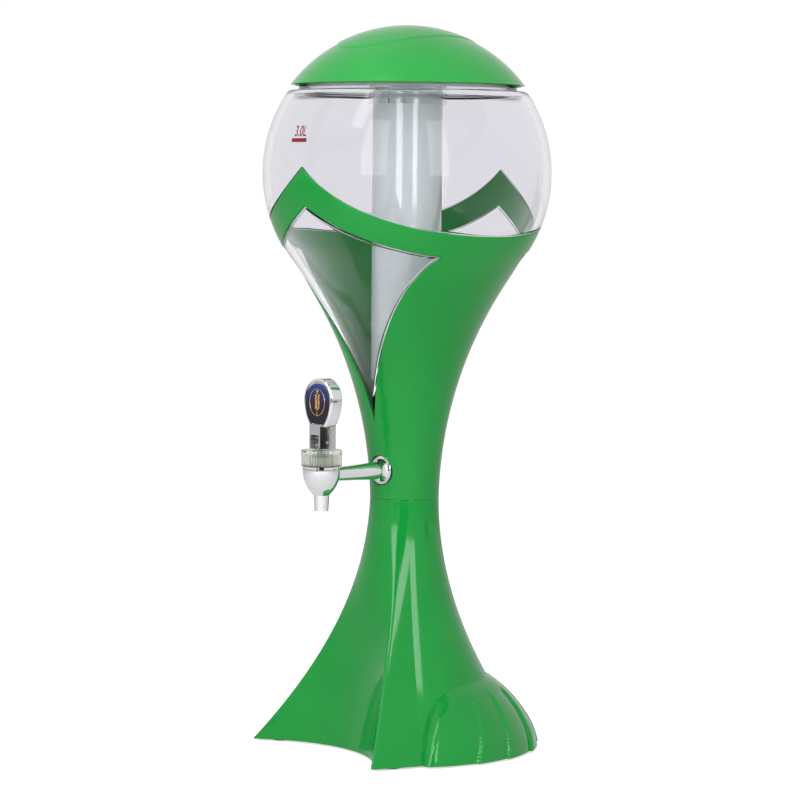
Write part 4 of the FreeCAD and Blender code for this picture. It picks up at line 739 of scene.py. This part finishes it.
frosted_pp = speckled("frosted_polypropylene", "#D6DEE0", 0.02, 220, 0.06, Transmission_Weight=0.1, IOR=1.6,
                      Specular_IOR_Level=0.7)
clear_ps = speckled("clear_styrene", "#EEF1F1", 0.01, 60, 0.03, Transmission_Weight=1.0, IOR=1.5,
                    Specular_Tint=(0.3, 0.3, 0.3, 1))
let_light_in(clear_ps.node_tree, clear_ps.node_tree.nodes["Principled BSDF"], 0.1)
smoked_ps = speckled("translucent_styrene", "#D6DAD2", 0.03, 300, 0.06, Transmission_Weight=0.9, IOR=1.5)
chrome = speckled("polished_chrome_plate", "#E9E8EB", 0.015, 90, 0.03, Metallic=1.0)
black_rubber = speckled("black_rubber", "#1B1B1D", 0.2, 500, 0.6, IOR=1.52)
silicone = speckled("clear_silicone", "#D4D8D6", 0.04, 300, 0.35, Transmission_Weight=0.5, IOR=1.41)
bright_steel = speckled("stainless_steel", "#B9B7B2", 0.05, 700, 0.28, Metallic=1.0)
white_nylon = speckled("white_nylon", "#E4E3DD", 0.03, 260, 0.4, IOR=1.53)

for material, names in ((frosted_pp, ("ice_tube",)), (clear_ps, ("lid_liner",)),
                        (smoked_ps, ("tap_bonnet", "plunger")),
                        (chrome, ("tap_body", "tap_escutcheon", "tap_lever")),
                        (black_rubber, ("rubber_feet", "clamp_washer", "outer_gasket", "inner_gasket",
                                        "bonnet_seal", "stem_seal")),
                        (silicone, ("lid_seal", "tube_seal", "seat_plug")),
                        (bright_steel, ("cover_screws", "lever_pin")),
                        (white_nylon, ("base_cover", "clamp_nut", "shank_nut"))):
    for name in names:
        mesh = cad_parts[name].data
        mesh.materials.clear()
        mesh.materials.append(material)

# Lever. Cast and chrome plated, so its edges are rounded by a millimetre on the frame's own shape, whose
# doubled points are joined first.

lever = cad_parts["tap_lever"]
welded = lever.modifiers.new("welded", "WELD")
welded.merge_threshold = 2e-6
rounded = lever.modifiers.new("rounded", "BEVEL")
rounded.width = 0.0011
rounded.segments = 3
rounded.limit_method = "ANGLE"
rounded.angle_limit = math.radians(40)
rounded.harden_normals = True

# Level mark. Dark red screen print on the globe above the tap: the volume at the fill line, and a bar
# whose top is the line. The ink is 0.06 mm thick.

MARK_TURNS = (-6.25, 0.6)
MARK_HEIGHTS = (439.9, 447.6)
BAR_TURNS = (-7.6, 1.3)
BAR_HEIGHTS = (436.0, 438.7)
INK = 0.06
INK_GAP = 0.01

red_ink = speckled("red_screen_ink", "#7C0A15", 0.06, 900, 0.5, IOR=1.4)

# The figures are set flat, a little bold and half a line thick, then fitted to the globe.
lettering = bpy.data.curves.new("level figures", "FONT")
lettering.body = "3.0L"
lettering.offset = 0.012
lettering.extrude = 0.5
flat_text = bpy.data.objects.new("level figures", lettering)
bpy.context.scene.collection.objects.link(flat_text)
mesh = bpy.data.meshes.new_from_object(flat_text.evaluated_get(bpy.context.evaluated_depsgraph_get()))
bpy.data.objects.remove(flat_text)
letters = np.empty(len(mesh.vertices) * 3)
mesh.vertices.foreach_get("co", letters)
letters = letters.reshape(-1, 3)
across, up, out = ((letters - letters.min(0)) / np.ptp(letters, axis=0)).T
wrapped = on_goblet(MARK_TURNS[0] + across * (MARK_TURNS[1] - MARK_TURNS[0]),
                    MARK_HEIGHTS[0] + up * (MARK_HEIGHTS[1] - MARK_HEIGHTS[0]), -INK_GAP - out * INK)
mesh.vertices.foreach_set("co", (wrapped / 1000).ravel())
weld(mesh, 1e-7)
mesh.materials.clear()
mesh.materials.append(red_ink)
figures = bpy.data.objects.new("level_figures", mesh)
bpy.context.scene.collection.objects.link(figures)
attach(figures, "tower")

bar_turn = np.array([BAR_TURNS[0], *np.linspace(*BAR_TURNS, 19), BAR_TURNS[1]])[:, None]
bar_height = np.array([BAR_HEIGHTS[0], *np.linspace(*BAR_HEIGHTS, 7), *BAR_HEIGHTS[::-1]])
bar_ink = np.tile(np.array([0.0, *[INK] * 7, 0.0, 0.0]), (len(bar_turn), 1))
bar_ink[[0, -1]] = 0
build("level_bar", [on_goblet(bar_turn, bar_height, -INK_GAP - bar_ink)], red_ink, "tower", doubles=1e-6)

# Badge. A navy lacquered plate, 1.2 mm thick with softened edges, let into the lever's head. On it stands
# a plain upright ear of barley inside a thin oval ring, embossed 0.3 mm and gilded.

BADGE_Y = -87.6
BADGE_THICK = 1.2
BADGE_SIDE = ((6.9, 238.4), (11.2, 246.2), (12.4, 254.5))
BADGE_CROWN = ((12.4, 254.5), (8.768, 263.268), (0.0, 266.9))
BADGE_MIDDLE = (0, 253.0)
# The plate's rings from its middle over the edge to the back: a share of the outline and a depth.
BADGE_RINGS = ((0, 0), (0.4, 0), (0.8, 0), (0.95, 0), (0.975, 0.02), (0.99, 0.12), (1.0, 0.3),
               (1.0, BADGE_THICK), (0.0, BADGE_THICK))
EAR_FOOT, EAR_STEP = 249.6, 2.0
GRAIN_RISE = 0.3
RING_Z, RING_HALF = 253.8, (7.6, 9.4)
RING_WIDTH, RING_RISE = 0.26, 0.22

# Navy lacquer: black blue at the foot, a clear blue at the crown, with a faint flow.
navy_plate, navy_tree, navy_shader = new_finish("navy_lacquer", Roughness=0.12, IOR=1.5)
navy_place = add(navy_tree, "ShaderNodeTexCoord").outputs["Object"]
navy_up = mapped(navy_tree, add(navy_tree, "ShaderNodeSeparateXYZ", {"Vector": navy_place}).outputs["Z"],
                 (0.2425, 0.2665), (0, 1))
feed(navy_tree, navy_shader,
     Base_Color=toned(navy_tree, navy_up, (0, linear("#130F22")), (0.45, linear("#191638")),
                      (1, linear("#12397F"))),
     Normal=bumped(navy_tree, noise(navy_tree, navy_place, 400, 2), 0.05, 0.0002))
gilding = speckled("gilding", "#CFA24A", 0.15, 900, 0.25, Metallic=1.0)


def grain(x, z, width, length, lean):
    """A low dome over a leaning oval: its height is the rise times the root of one less the reach squared."""
    tip = np.linspace(0, math.pi / 2, 6)
    reach, height = np.array([*np.sin(tip), 0.0]), np.array([*np.cos(tip), 0.0]) * GRAIN_RISE
    way = np.linspace(0, math.tau, 21)[:, None]
    side, along = reach * np.cos(way) * width, reach * np.sin(way) * length
    cos, sin = math.cos(math.radians(lean)), math.sin(math.radians(lean))
    return np.stack([x + side * cos + along * sin, BADGE_Y + 0.02 - height + 0 * way,
                     z + along * cos - side * sin], -1)


ear = [grain(0, EAR_FOOT + 5 * EAR_STEP + 1.3, 0.75, 1.7, 0), grain(0, EAR_FOOT - 3.0, 0.28, 3.2, 0)]
for row in range(5):
    for side in (-1, 1):
        ear.append(grain(side * 1.35, EAR_FOOT + row * EAR_STEP + 0.4, 0.72, 1.55, side * 27))
ring_way, ring_round = np.linspace(0, math.tau, 97)[:, None], np.linspace(0, math.tau, 9)
ring_out = RING_WIDTH * np.cos(ring_round)
ear.append(np.stack([(RING_HALF[0] + ring_out) * np.sin(ring_way),
                     BADGE_Y - RING_RISE * np.sin(ring_round) + 0 * ring_way,
                     RING_Z + (RING_HALF[1] + ring_out) * np.cos(ring_way)], -1))
build("barley_mark", ear, gilding, "lever", doubles=1e-7)

right_half = np.concatenate([arc_points(*BADGE_SIDE, 24), arc_points(*BADGE_CROWN, 30)[1:]])
foot_line = np.linspace(-1, 1, 12)[1:, None] * (BADGE_SIDE[0][0], 0) + (0, BADGE_SIDE[0][1])
outline = np.concatenate([right_half, right_half[-2::-1] * (-1, 1), foot_line])
ring_share, ring_depth = np.array(BADGE_RINGS).T[..., None]
plate_x, plate_z = np.moveaxis(BADGE_MIDDLE + (outline - BADGE_MIDDLE) * ring_share[..., None], -1, 0)
build("badge", [np.stack([plate_x, BADGE_Y + ring_depth + 0 * plate_x, plate_z], -1)], navy_plate, "lever",
      "lever_badge", slot="navy_plate")
